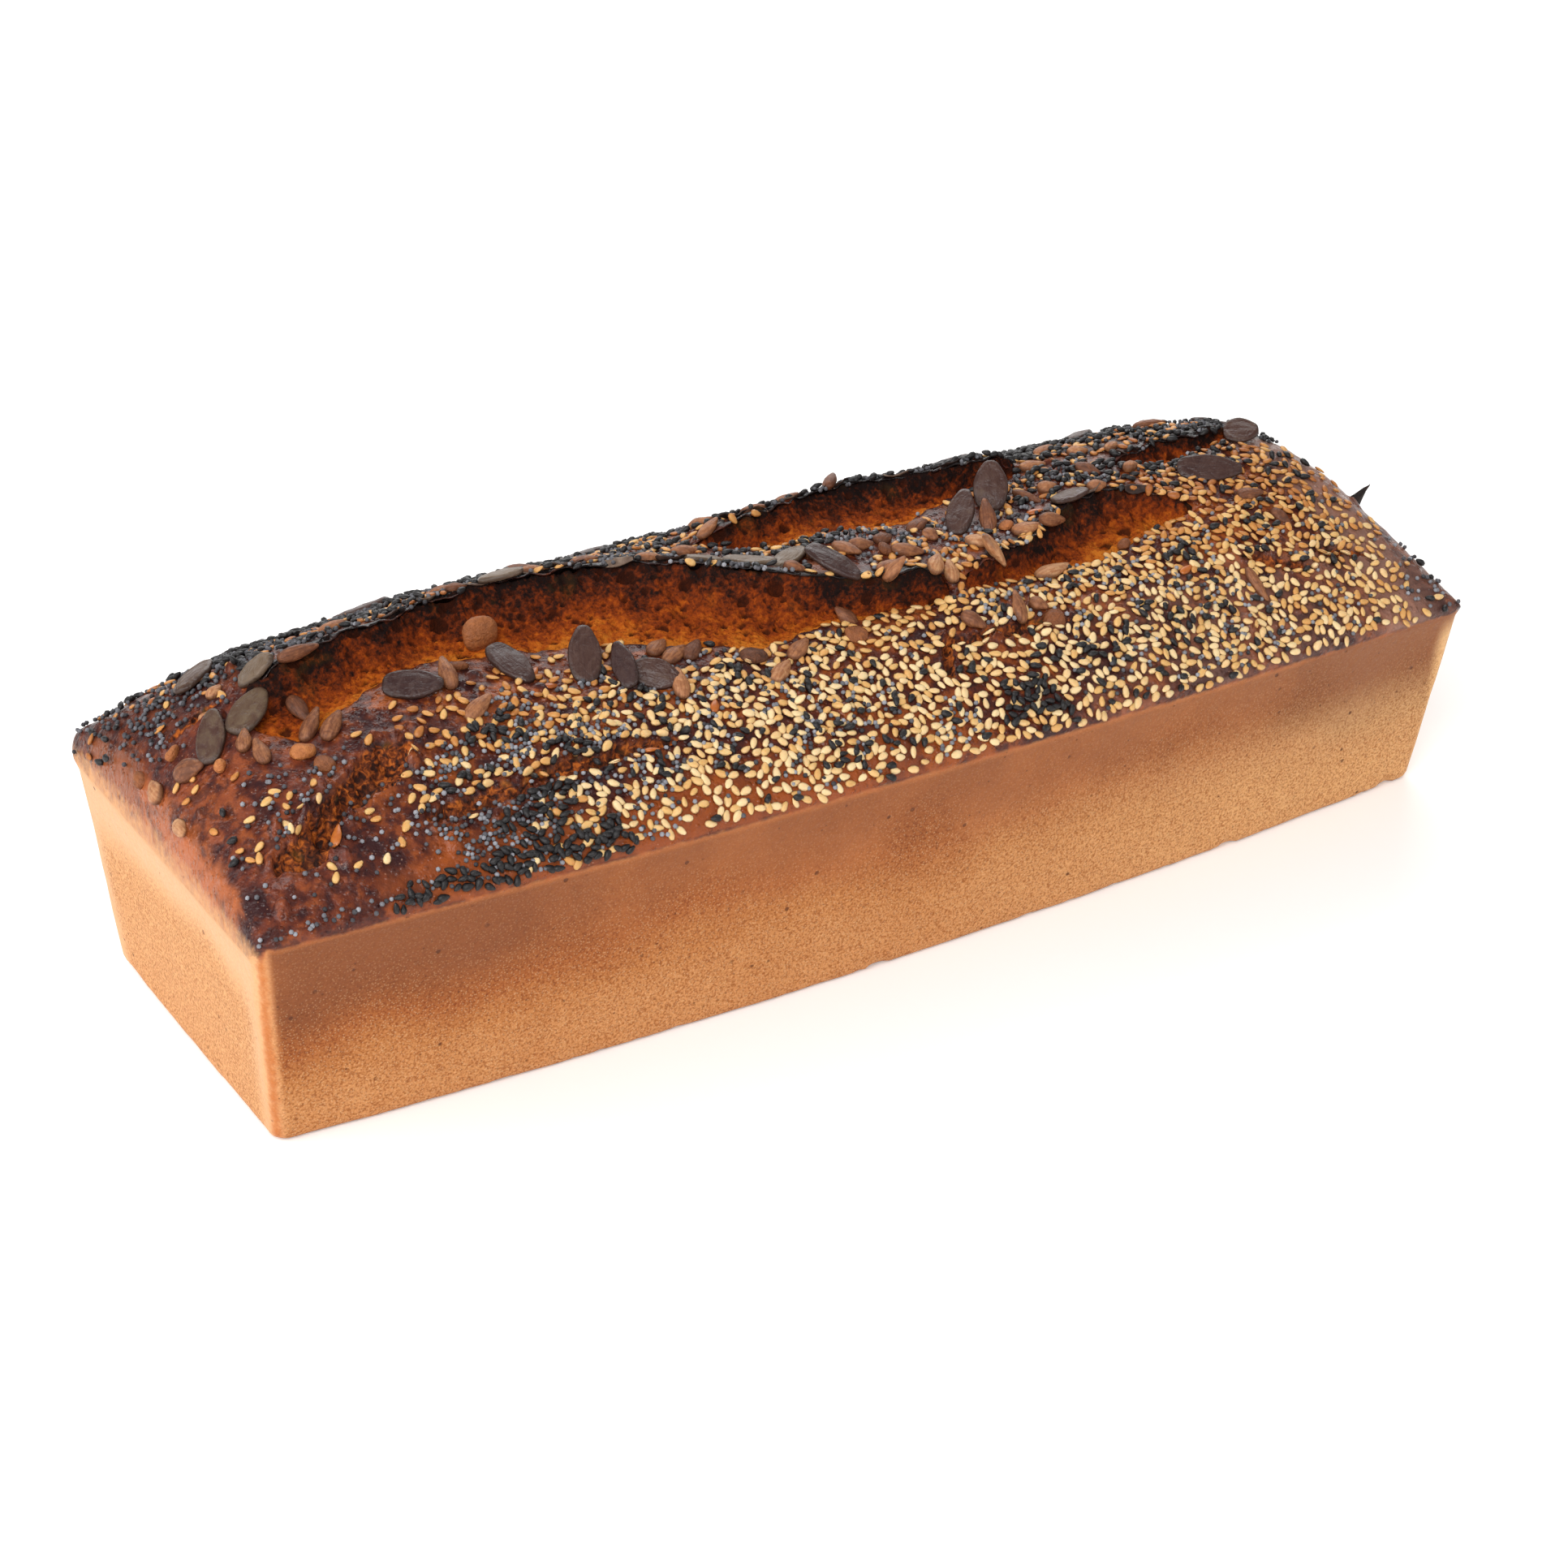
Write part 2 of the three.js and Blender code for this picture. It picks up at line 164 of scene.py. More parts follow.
form = {
    "bow": 5.4,  # how far the middle of a long wall bulges out past its ends
    "corner": 4.4,
    "rimHeight": 58.7,
    "rimTilt": 2.2,
    "rimCrown": 0.8,
    "floorLength": 335.2,
    "floorWidth": 92.6,
    "floorBow": 7.1,
    "floorCorner": 3.6,
    "floorFillet": 2.4,
    "endShoulder": 5.5,  # radius of the roll from the top crust down into each end wall
    "sideShoulder": 1.3,
    "domeRise": 29.6,
    "domeEndPower": 8.6,
    "domeRightPower": 12,
    "domeEndFall": 0.74,
    "domeSidePower": 2,
    "domeSideFall": 0.8,
    "domeLean": 0.12,
    "frontFade": 11,
    "backFade": 10,
}
halfLength = loafLength / 2
endWidth = loafWidth - 2 * form["bow"]

# Each split has a low front lip and a raised back lip, x and y from end to end, and crumb between them;
# baked is how much browner its crumb is.

longSplit = {
    "from": -150, "to": 34, "taper": 13, "drop": 2.8, "lift": 5.4, "ear": 2.2, "dip": 3.6, "baked": -0.02,
    "front": [
        (-172, -10), (-150, -5), (-145, -9), (-141, -12.5), (-136, -11.5), (-130, -8.5), (-122, -6),
        (-114, -3.5), (-106, -1.5), (-98, -1), (-90, -2.5), (-80, -5), (-69, -7), (-58, -10), (-50, -14),
        (-32, -22), (-22, -24.5), (-8, -22), (8, -22.5), (28, -25.5),
    ],
    "back": [
        (-172, 4), (-150, 5), (-141, 6), (-126, 9), (-107, 11.5), (-95, 16), (-84, 16.5), (-70, 15.5),
        (-56, 13), (-38, 7), (-22, -4), (-10, -11), (2, -17.5), (28, -22),
    ],
}
rightSplit = {
    "from": 32, "to": 114, "taper": 16, "drop": 2, "lift": 2, "ear": 1.4, "dip": 3.2, "baked": -0.02,
    "front": [
        (28, -25.5), (36, -26.5), (50, -23.5), (62, -23.5), (72, -23.5), (83, -21.5), (95, -19.5),
        (108, -19), (117, -19.5), (140, -22), (172, -22),
    ],
    "back": [
        (28, -22), (38, -21), (50, -17), (62, -14.5), (68, -11), (74, -7.5), (82, -6), (93, -8), (103, -12),
        (112, -15.5), (140, -9), (172, -7),
    ],
}
middleSplit = {
    "from": -22, "to": 82, "taper": 14, "drop": 1.2, "lift": 5.2, "ear": 2, "dip": 3.4, "baked": 0.0,
    "front": [
        (-172, 15), (-120, 20), (-95, 24), (-84, 25), (-52, 21), (-28, 17), (-14, 13), (-3, 8), (9, 7),
        (21, 5), (32, 6), (42, 8.5), (56, 12), (72, 14.5),
    ],
    "back": [
        (-172, 28), (-120, 33), (-88, 35), (-52, 31), (-28, 23), (-16, 18), (-3, 19), (8, 21), (20, 24.5),
        (32, 25.5), (42, 22.5), (56, 18.5), (72, 18),
    ],
}
farSplit = {
    "from": 98, "to": 146, "taper": 12, "drop": 0.8, "lift": 1.1, "ear": 1.4, "dip": 2.2, "baked": -0.06,
    "front": [
        (72, 14.5), (86, 11), (98, 8.5), (107, 6), (116, 3.5), (126, 4.5), (137, 7.5), (172, 6),
    ],
    "back": [
        (72, 18), (86, 16.5), (98, 11), (108, 10.5), (120, 12.5), (130, 12.5), (138, 11.5), (172, 22),
    ],
}
splits = [longSplit, rightSplit, middleSplit, farSplit]
lowerPair = (longSplit, rightSplit)
upperPair = (middleSplit, farSplit)

# Short tears in the crust: x and y of one end, x and y of the other, width and depth.
tears = [
    (-160, -42, -141, -36.5, 8, 5.4), (-147, -37, -119, -24, 9.5, 5.8), (-124, -43.5, -97, -43, 4.6, 3.6),
    (-101, -42.5, -58, -42, 4.2, 3.8), (-162, 13, -147, 11, 4, 2.2), (16, -46, 22, -36, 3.4, 3),
    (17, -37, 55, -39.5, 3.4, 2.8), (112, -35.5, 131, -42, 3.6, 2.8), (132, -36.5, 150, -40, 3, 2.2),
]

# The crust's own relief: heights in millimetres, and how far in from the rim it reaches full height.
crustRelief = {"wrinkle": 0.42, "blister": 0.75, "pit": 0.7, "growsOver": 5}


def rimAt(x):
    share = x / halfLength
    return form["rimHeight"] - form["rimTilt"] * share + form["rimCrown"] * (1 - share**2)


def halfWidthAt(x):
    share = x / halfLength
    return endWidth / 2 + form["bow"] * (1 - share**2)


def domeAt(x, y):
    # rise * (1 - |along|^p)^q * (1 - |across|^r)^s, with the top line leaned towards the back
    along = np.minimum(1, np.abs(x) / halfLength)
    across = np.clip(y / halfWidthAt(x), -1, 1)
    leaned = across - form["domeLean"] * (1 - across**2)
    power = np.where(x > 0, form["domeRightPower"], form["domeEndPower"])
    end = np.clip(1 - along**power, 0, 1) ** form["domeEndFall"]
    side = np.clip(1 - np.abs(leaned) ** form["domeSidePower"], 0, 1) ** form["domeSideFall"]
    return form["domeRise"] * end * side


def swellAt(x, y):
    # two crossed waves that die out at the rim
    wide = 0.7 * np.sin(x / 23 + 1.3) * np.cos(y / 17 + 0.4)
    short = 0.45 * np.sin(x / 11 + y / 13)
    return (wide + short) * np.minimum(1, domeAt(x, y) / form["domeRise"])


def openAt(split, x):
    # 0 where a split is shut and 1 where it is open, eased over its taper at both ends
    return smooth((x - split["from"]) / split["taper"]) * smooth((split["to"] - x) / split["taper"])


def splitRelief(split, x, y):
    # the front lip sinks, the back lip rises, and a hollow ramp runs from one to the other
    front = curveAt(split["front"], x)
    back = curveAt(split["back"], x)
    share = np.clip((y - front) / (back - front), 0, 1)
    before = -split["drop"] * np.exp(np.minimum(y - front, 0) / form["frontFade"])
    behind = split["lift"] * np.exp(np.minimum(back - y, 0) / form["backFade"])
    ramp = mix(-split["drop"], split["lift"] - split["ear"], share) - split["dip"] * np.sin(math.pi * share)
    return openAt(split, x) * np.where(y <= front, before, np.where(y >= back, behind, ramp))


def plainTop(x, y):
    return rimAt(x) + domeAt(x, y) + swellAt(x, y) + sum(splitRelief(s, x, y) for s in splits)


def shoulderDrop(x, y):
    # a quarter circle down to the end walls, and a small one along the sides
    drop = 0.0
    gaps = (halfLength - np.abs(x), form["endShoulder"]), (halfWidthAt(x) - np.abs(y), form["sideShoulder"])
    for gap, radius in gaps:
        inside = np.clip(radius - gap, 0, radius)
        drop = np.maximum(drop, radius - np.sqrt(radius**2 - inside**2))
    return drop


def rimGap(x, y):
    # how far a place is from the nearest edge of the top
    return np.minimum(halfLength - np.abs(x), halfWidthAt(x) - np.abs(y))


def tearShare(tear, x, y):
    # 0 in the middle of a tear, 1 at its edge: the ellipse's own distance, its outline made ragged
    x0, y0, x1, y1, wide, _ = tear
    runX, runY = x1 - x0, y1 - y0
    long = math.hypot(runX, runY)
    offX, offY = x - (x0 + x1) / 2, y - (y0 + y1) / 2
    along = (offX * runX + offY * runY) / long
    across = (offY * runX - offX * runY) / long
    across = across + 1.5 * roughNoise(x, y, 0, 5.5, 71, 3) * min(1, wide / 6)
    return np.sqrt((along / (long * 0.54)) ** 2 + (across / (wide / 2)) ** 2)


def tearRelief(x, y):
    # an ellipsoid's lower half inside each tear, lumpy at the bottom, with its edge turned up a little
    relief = 0.0
    lumps = 0.5 * roughNoise(x, y, 0, 2.6, 77, 2)
    for tear in tears:
        wide, deep = tear[4:]
        share = tearShare(tear, x, y)
        relief = relief - deep * np.sqrt(np.clip(1 - share**2, 0, 1)) * (1 + lumps)
        relief = relief + 0.22 * wide**0.8 * np.exp(-(((share - 1.12) / 0.2) ** 2)) * (1 + 2 * lumps)
    return relief


def tornShare(x, y, edge=1.08, width=0.22):
    # 1 inside the tears, fading over this width to 0 at this share of the way out to their edges
    share = 0.0 * x
    for tear in tears:
        share = np.maximum(share, smooth((edge - tearShare(tear, x, y)) / width))
    return share


def crustDetail(x, y):
    # wrinkles at 9 mm and finer, a few blisters, more of them at the left end, and pits; all of it dies out
    # at the rim
    wrinkles = crustRelief["wrinkle"] * roughNoise(x, y, 0, 9, 11, 4)
    blistered = 1 + 1.2 * smooth((-100 - x) / 30)
    blisters = crustRelief["blister"] * blistered * pocketDepth(x, y, 0, 7.5, 0.05, 0.3, 17)
    pits = crustRelief["pit"] * pocketDepth(x, y, 40, 5.5, 0.03, 0.2, 23)
    return (wrinkles + blisters - pits) * smooth(rimGap(x, y) / crustRelief["growsOver"])


def topAt(x, y):
    return plainTop(x, y) + crustDetail(x, y) + tearRelief(x, y) - shoulderDrop(x, y)


def outlinePoint(xShare, yShare, height, x):
    # a rectangle with bowed long sides that widens from floor to rim, its corners and bottom edge rounded
    t = np.maximum(0, height) / rimAt(x)
    fillet = form["floorFillet"]
    inset = np.maximum(fillet - height, 0)
    pulled = fillet - np.sqrt(np.maximum(0, fillet**2 - inset**2))
    reachX = mix(form["floorLength"], loafLength, t) / 2 - pulled
    bow = mix(form["floorBow"], form["bow"], t) * (1 - xShare**2)
    reachY = mix(form["floorWidth"], endWidth, t) / 2 + bow - pulled
    corner = mix(form["floorCorner"], form["corner"], t)
    px = np.abs(xShare) * reachX
    py = np.abs(yShare) * reachY
    pastX = (px - reachX + corner) / corner
    pastY = (py - reachY + corner) / corner
    both = (pastX > 0) & (pastY > 0)
    scale = np.maximum(pastX, pastY) / np.maximum(np.hypot(pastX, pastY), 1e-9)
    px = np.where(both, reachX - corner + corner * pastX * scale, px)
    py = np.where(both, reachY - corner + corner * pastY * scale, py)
    return np.sign(xShare) * px, np.sign(yShare) * py


# Meshes from arrays.

def meshFrom(name, points, faces, finish, values):
    # one smooth piece, with its own values on its points, that rides with the loaf and stands for its solid
    mesh = bpy.data.meshes.new(name)
    mesh.from_pydata(np.asarray(points, float) * millimetre, [], faces)
    for key, value in values.items():
        layer = mesh.attributes.new(key, "FLOAT", "POINT")
        layer.data.foreach_set("value", np.ascontiguousarray(value, np.float32))
    mesh.polygons.foreach_set("use_smooth", np.ones(len(mesh.polygons), bool))
    mesh.materials.append(finish)
    mesh.update()
    piece = bpy.data.objects.new(name, mesh)
    link(piece)
    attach(piece, "root")
    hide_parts("loaf")
    print(name, len(mesh.vertices), "points")
    return piece


def gridFaces(columns, rows):
    # quads between the points i * rows + j, facing up where i runs along +X and j along +Y
    i, j = np.meshgrid(np.arange(columns - 1), np.arange(rows - 1), indexing="ij")
    first = (i * rows + j).ravel()
    return np.stack([first, first + rows, first + rows + 1, first + 1], 1)


# Finishes, built node by node on places in the object and on the pieces' own values.

def tone(red, green, blue):
    # a screen colour, 0 to 255, as linear light
    shares = [v / 255 for v in (red, green, blue)]
    return tuple(v / 12.92 if v <= 0.04045 else ((v + 0.055) / 1.055) ** 2.4 for v in shares) + (1,)


class Finish:
    def __init__(self, name, roughness, specular=0.5):
        self.material = bpy.data.materials.new(name)
        self.material.use_nodes = True
        self.tree = self.material.node_tree
        self.shader = self.tree.nodes["Principled BSDF"]
        self.shader.inputs["Roughness"].default_value = roughness
        self.shader.inputs["Specular IOR Level"].default_value = specular
        self.place = self.tree.nodes.new("ShaderNodeTexCoord").outputs["Object"]

    def make(self, kind, inputs, **settings):
        node = self.tree.nodes.new(kind)
        for key, value in settings.items():
            setattr(node, key, value)
        for key, value in inputs.items():
            if isinstance(value, bpy.types.NodeSocket):
                self.tree.links.new(value, node.inputs[key])
            else:
                node.inputs[key].default_value = value
        return node

    def noise(self, size, detail=3.0, distortion=0.0):
        # size in millimetres
        inputs = {"Vector": self.place, "Scale": 1 / (size * millimetre)}
        inputs.update({"Detail": detail, "Roughness": 0.55, "Distortion": distortion})
        return self.make("ShaderNodeTexNoise", inputs).outputs["Fac"]

    def cells(self, size):
        # how far the nearest of scattered points is, from 0
        inputs = {"Vector": self.place, "Scale": 1 / (size * millimetre)}
        return self.make("ShaderNodeTexVoronoi", inputs).outputs["Distance"]

    def value(self, name):
        return self.make("ShaderNodeAttribute", {}, attribute_name=name).outputs["Fac"]

    def maths(self, operation, a, b):
        return self.make("ShaderNodeMath", {0: a, 1: b}, operation=operation).outputs[0]

    def plus(self, a, b):
        return self.maths("ADD", a, b)

    def times(self, a, b):
        return self.maths("MULTIPLY", a, b)

    def swayed(self, value, noise, strength):
        # a value pushed down and up by noise about its middle; a name stands for the mesh's own value
        if isinstance(value, str):
            value = self.value(value)
        return self.plus(value, self.times(self.maths("SUBTRACT", noise, 0.5), strength))

    def spread(self, value, low, high, toLow=0.0, toHigh=1.0):
        # the value's way from low to high, smoothed and laid out from toLow to toHigh
        inputs = {"Value": value, "From Min": low, "From Max": high, "To Min": toLow, "To Max": toHigh}
        return self.make("ShaderNodeMapRange", inputs, interpolation_type="SMOOTHSTEP").outputs["Result"]

    def ramp(self, value, stops):
        node = self.make("ShaderNodeValToRGB", {"Fac": value})
        bar = node.color_ramp.elements
        while len(bar) < len(stops):
            bar.new(0.5)
        for slot, (at, colour) in zip(bar, stops):
            slot.position = at
            slot.color = colour
        return node.outputs["Color"]

    def blend(self, share, a, b, kind="MIX"):
        node = self.make("ShaderNodeMix", {0: share, 6: a, 7: b}, data_type="RGBA", blend_type=kind)
        return node.outputs[2]

    def laid(self, base, colour, share, most):
        # a colour laid over another, at most this strongly
        return self.blend(self.times(share, most), base, colour)

    def over(self, base, colour, value, noise, strength, low, high, most=1.0):
        # a colour laid over another where a value swayed by noise goes from low to high
        share = self.spread(self.swayed(value, noise, strength), low, high, 0.0, most)
        return self.blend(share, base, colour)

    def colour(self, socket):
        self.tree.links.new(socket, self.shader.inputs["Base Color"])

    def gloss(self, socket):
        self.tree.links.new(socket, self.shader.inputs["Roughness"])

    def bumps(self, *layers):
        # each layer is a height from 0 to 1 and its depth in millimetres
        normal = None
        for height, depth in layers:
            inputs = {"Height": height, "Strength": 1.0, "Distance": depth * millimetre}
            if normal:
                inputs["Normal"] = normal
            normal = self.make("ShaderNodeBump", inputs).outputs["Normal"]
        self.tree.links.new(normal, self.shader.inputs["Normal"])


crustColours = {
    "wallPale": tone(213, 153, 99),
    "wall": tone(197, 132, 77),
    "wallDeep": tone(172, 102, 53),
    "browned": tone(136, 76, 38),
    # partly a paler real tone, partly painted light from the right and a painted highlight at the right corner
    "palerAndLit": tone(238, 190, 134),
    # the end walls' paler tone, partly real and partly a painted sheen
    "endWallPaleAndSheen": tone(224, 170, 120),
    "wallEdge": tone(190, 104, 38),
    # a painted sheen, laid on the end walls
    "paintedSheen": tone(238, 196, 164),
    # a reddish rim strip; on the walls it is also painted shade under the crust's overhang and the seeds
    "rimStripAndShade": tone(164, 86, 38),
    "foot": tone(128, 70, 34),
    "pore": tone(92, 46, 22),
    "sandGap": tone(190, 156, 124),
    "sand": tone(238, 227, 214),
    "sandPale": tone(255, 255, 252),
    "granule": tone(252, 214, 162),
    "plum": tone(54, 26, 26),
    "chestnut": tone(90, 40, 24),
    "amber": tone(150, 76, 32),
    "glaze": tone(154, 76, 32),
    "ruddy": tone(126, 62, 44),
    # a dusky pink, partly floury tone and partly painted sheen
    "duskyAndSheen": tone(150, 110, 94),
    "roll": tone(184, 102, 56),  # where the crust turns over the end walls
    "char": tone(24, 17, 17),
    "flour": tone(196, 144, 116),
    "torn": tone(190, 100, 34),
    "tornBrown": tone(112, 50, 16),
    "tornOlive": tone(128, 92, 34),
    "tornDeep": tone(46, 18, 8),
    # painted shade at the bottom of the tears
    "tornFloorShade": tone(34, 14, 7),
}


def wallLook(f, grain, fleck, sandy):
    # browner towards the rim; paler to the right, partly real tone and partly painted light, with a painted
    # highlight beside the right corner; paler on the ends, partly real tone and partly painted sheen; an
    # orange edge at the near corners; a faint painted sheen at the top of the end walls; and a reddish strip
    # along the rim, darkened on the walls by painted shade under the crust's overhang and the seeds
    c = crustColours
    wall = f.ramp(f.swayed("browned", f.noise(17, 4, 0.3), 0.34), [
        (0.08, c["wallPale"]), (0.34, c["wall"]), (0.62, c["wallDeep"]), (0.95, c["browned"]),
    ])
    # the paler right is partly painted light, the ends' pale tone is partly painted sheen, the stripe is
    # painted sheen
    for name, most in (("palerAndLit", 0.6), ("endWallPaleAndSheen", 0.8), ("paintedSheen", 0.2)):
        wall = f.laid(wall, c[name], f.value(name), most)
    wall = f.over(wall, c["wallEdge"], "wallEdge", fleck, 0.9, 0.25, 1.1, 0.85)
    # the rim strip: reddish tone, and on the walls painted shade under the overhang and the seeds
    wall = f.over(wall, c["rimStripAndShade"], "nearRim", fleck, 0.9, 0.35, 1.1, 0.75)
    # sand: pale granules with darker gaps, then pits and pores, then dark patches at the foot
    sand = f.ramp(grain, [(0.36, c["sandGap"]), (0.5, c["sand"]), (0.62, c["sandPale"])])
    wall = f.blend(f.times(sandy, 0.9), wall, sand, "MULTIPLY")
    granule = f.times(f.spread(f.cells(0.7), 0.42, 0.14), sandy)
    wall = f.laid(wall, c["granule"], granule, 0.26)
    pore = f.times(f.spread(f.cells(6.0), 0.12, 0.06), f.spread(f.noise(9, 1), 0.45, 0.6))
    speck = f.times(f.spread(f.cells(2.2), 0.16, 0.09), f.spread(f.noise(4.3, 2), 0.5, 0.66))
    dark = f.maths("MAXIMUM", pore, f.times(speck, 0.7))
    wall = f.laid(wall, c["pore"], dark, 0.85)
    return f.over(wall, c["foot"], "foot", fleck, 1.1, 0.5, 1.1, 0.7), granule, dark


def topLook(f, fleck):
    # plum to chestnut to amber in clouds, redder at the left end, duskier at the right (partly a floury tone,
    # partly painted sheen), golden at the front rim, orange where it rolls over the ends, charred at the lips,
    # floured in specks
    c = crustColours
    patch = f.noise(7, 4, 0.6)
    heat = f.swayed(f.plus(f.times(patch, 0.55), f.times(f.noise(19, 2, 0.3), 0.5)), fleck, 0.44)
    top = f.ramp(heat, [(0.42, c["plum"]), (0.53, c["chestnut"]), (0.66, c["amber"])])
    top = f.over(top, c["ruddy"], "leftward", patch, 4.0, 0.4, 1.5, 0.5)
    mottle = f.times(f.spread(f.noise(4.5, 4, 0.5), 0.47, 0.62), f.value("leftward"))
    top = f.laid(top, c["plum"], mottle, 0.7)
    # the dusky right, partly painted sheen
    top = f.over(top, c["duskyAndSheen"], "rightward", patch, 1.1, 0.2, 1.1, 0.85)
    top = f.over(top, c["glaze"], "glazed", f.noise(11, 3), 1.5, 0.4, 1.1, 0.8)
    top = f.over(top, c["roll"], "rolled", patch, 2.0, 0.3, 1.2, 0.75)
    top = f.over(top, c["char"], "charred", patch, 0.9, 0.3, 0.95)
    flour = f.times(f.spread(f.cells(1.3), 0.18, 0.08), f.spread(f.noise(2.6, 1), 0.46, 0.6))
    top = f.laid(top, c["flour"], flour, 0.45)
    # inside the tears it is orange crumb, with painted shade darkest at the bottom
    inside = f.ramp(f.noise(1.7, 4, 0.8), [(0.4, c["tornDeep"]), (0.52, c["tornBrown"]), (0.66, c["torn"])])
    inside = f.blend(f.spread(f.noise(6, 2), 0.58, 0.72, 0.0, 0.3), inside, c["tornOlive"])
    # painted shade, darker the deeper into the tear
    inside = f.laid(inside, c["tornFloorShade"], f.value("deep"), 0.7)
    torn = f.spread(f.swayed("torn", fleck, 0.7), 0.3, 0.75)
    return f.blend(torn, top, inside), torn


def crustFinish():
    f = Finish("bakedCrust", 0.5, 0.27)
    grain = f.noise(0.6, 3)
    fleck = f.noise(2.2, 3)
    sandy = f.value("sandy")
    wall, granule, dark = wallLook(f, grain, fleck, sandy)
    top, torn = topLook(f, fleck)
    isTop = f.spread(f.swayed("topShare", fleck, 0.6), 0.25, 0.75)
    f.colour(f.blend(isTop, wall, top))
    topGloss = f.plus(f.spread(f.noise(4, 3), 0.3, 0.7, 0.2, 0.4), f.times(torn, 0.5))
    wallGloss = f.plus(0.42, f.times(sandy, 0.4))
    f.gloss(f.make("ShaderNodeMix", {0: isTop, 2: wallGloss, 3: topGloss}).outputs[0])
    grit = f.times(f.plus(grain, f.times(granule, 0.4)), f.maths("MAXIMUM", sandy, 0.25))
    blister = f.times(f.spread(f.cells(1.9), 0.42, 0.1), isTop)
    f.bumps((f.maths("SUBTRACT", grit, dark), 0.25), (fleck, 0.46), (blister, 0.28))
    return f.material


# The loaf's body: one closed mesh of walls, bottom and top crust, whose splits are cut down under the crumb.

body = {
    "columns": 440,
    "frontRows": 56,
    "bridgeRows": 24,
    "backRows": 30,
    "wallRows": 18,
    "endCrowding": 0.35,
    "footLevels": (0, 0.03, 0.12, 0.28, 0.52, 1),  # shares of the bottom edge's rounding
    "coreInset": 14,  # the walls are pushed straight away from a core, this far in from the ends
    "coreReach": 40,  # and this far to either side of the middle
    "wallRelief": 0.22,
    "nicks": (-8, 102, 158),
    "nickReach": 3.4,
    "nickHeight": 2.6,
    "nickDepth": 1.2,
    "jags": 1.1,  # how far the bottom edge is broken back in places
}

# One row for each line across a split: share of the gap when closed, which lip, how far from it towards the
# back, how far up.
lipRows = [
    (0, 0, 0, 0), (0.07, 0, 0.3, -0.2), (0.14, 0, 0.5, -0.8), (0.21, 0, 0.7, -2.6), (0.29, 0, 0.8, -5.5),
    (0.42, 0.33, 0, -6), (0.56, 0.66, 0, -6),
    (0.68, 1, 1.8, -6), (0.76, 1, 1.5, -2.4), (0.82, 1, 0.8, -1), (0.88, 1, 0, -0.62),
    (0.93, 1, -0.5, -0.42), (0.97, 1, -0.6, -0.12), (1, 1, -0.2, 0),
]


def raggedness(x, salt):
    # the wander of a lip's line: soft noise at 9 mm and 3 mm
    return 1.1 * softNoise(x, 0, 0, 9, salt) + 0.7 * softNoise(x, 0, 0, 2.8, salt + 1)


def evenLine(pair, lip, x):
    # a lip's smooth line: the second split's own from where the first one's ends
    first = x < pair[0][lip][-1][0]
    return np.where(first, curveAt(pair[0][lip], x), curveAt(pair[1][lip], x))


def lipLines(pair, x):
    # the two lips of a pair of splits end to end, made ragged where they are open
    opened = np.maximum(openAt(pair[0], x), openAt(pair[1], x))
    ragged = smooth(opened * 2)
    salt = 31 if pair is lowerPair else 41
    front = evenLine(pair, "front", x) + ragged * raggedness(x, salt)
    back = evenLine(pair, "back", x) + ragged * raggedness(x, salt + 5)
    return front, np.maximum(back, front + 0.8), opened


def splitRows(pair, x):
    # each row slides from its closed place on the plain crust to its open place round the lips
    front, back, opened = lipLines(pair, x)
    share = smooth(opened / 0.4)
    # where a ragged lip reaches in past its even line, its height is the line's
    frontZ = plainTop(x, np.minimum(front, evenLine(pair, "front", x))) + crustDetail(x, front)
    backZ = plainTop(x, np.maximum(back, evenLine(pair, "back", x))) + crustDetail(x, back)
    ys, zs = [], []
    for closed, lip, out, up in lipRows:
        shutY = mix(front, back, closed)
        wobble = (0.3 + 0.2 * lip) * roughNoise(x, 9 * lip, up, 3.2, 57, 3)
        ys.append(mix(shutY, mix(front, back, lip) + out + wobble, share))
        zs.append(mix(topAt(x, shutY), mix(frontZ, backZ, lip) + up + wobble, share))
    return ys, zs


def topRows(x):
    # the lines of the top from the front rim to the back rim
    halfWidth = halfWidthAt(x)
    lowerFront, lowerBack, _ = lipLines(lowerPair, x)
    upperFront, upperBack, _ = lipLines(upperPair, x)
    ys, zs = [], []

    def plain(y):
        ys.append(y)
        zs.append(topAt(x, y))

    for i in range(body["frontRows"]):
        plain(mix(-halfWidth, lowerFront, (i / body["frontRows"]) ** 1.06))
    lowerY, lowerZ = splitRows(lowerPair, x)
    ys += lowerY
    zs += lowerZ
    for i in range(1, body["bridgeRows"]):
        plain(mix(lowerBack, upperFront, i / body["bridgeRows"]))
    upperY, upperZ = splitRows(upperPair, x)
    ys += upperY
    zs += upperZ
    for i in range(body["backRows"] - 1, -1, -1):
        plain(mix(halfWidth, upperBack, (i / body["backRows"]) ** 1.06))
    return np.array(ys).T, np.array(zs).T


def rightShare(x, y):
    # how dusky pink the crust is, partly a floury tone and partly a painted sheen: from the middle of the
    # front slope to all of the right shoulder
    slope = smooth((x + 10) / 110) * smooth((-20 - y) / 24)
    return np.maximum(0.55 * slope, smooth((x - 128) / 24)) * (1 - 0.45 * smooth((x - 152) / 12))


def charShare(x, y):
    # burnt along the back lips and over the far shoulder, less down the front slope
    share = 0.0 * x
    for split in splits:
        back = curveAt(split["back"], x)
        share = np.maximum(share, 1.2 * openAt(split, x) * np.exp(-np.abs(y - back - 0.5) / 4))
    farShoulder = smooth((x - 95) / 25) * smooth((y - 1) / 9) * smooth((170 - x) / 12)
    return np.maximum(share, smooth((y + 2) / 22) * 0.5 + 0.4 * farShoulder)


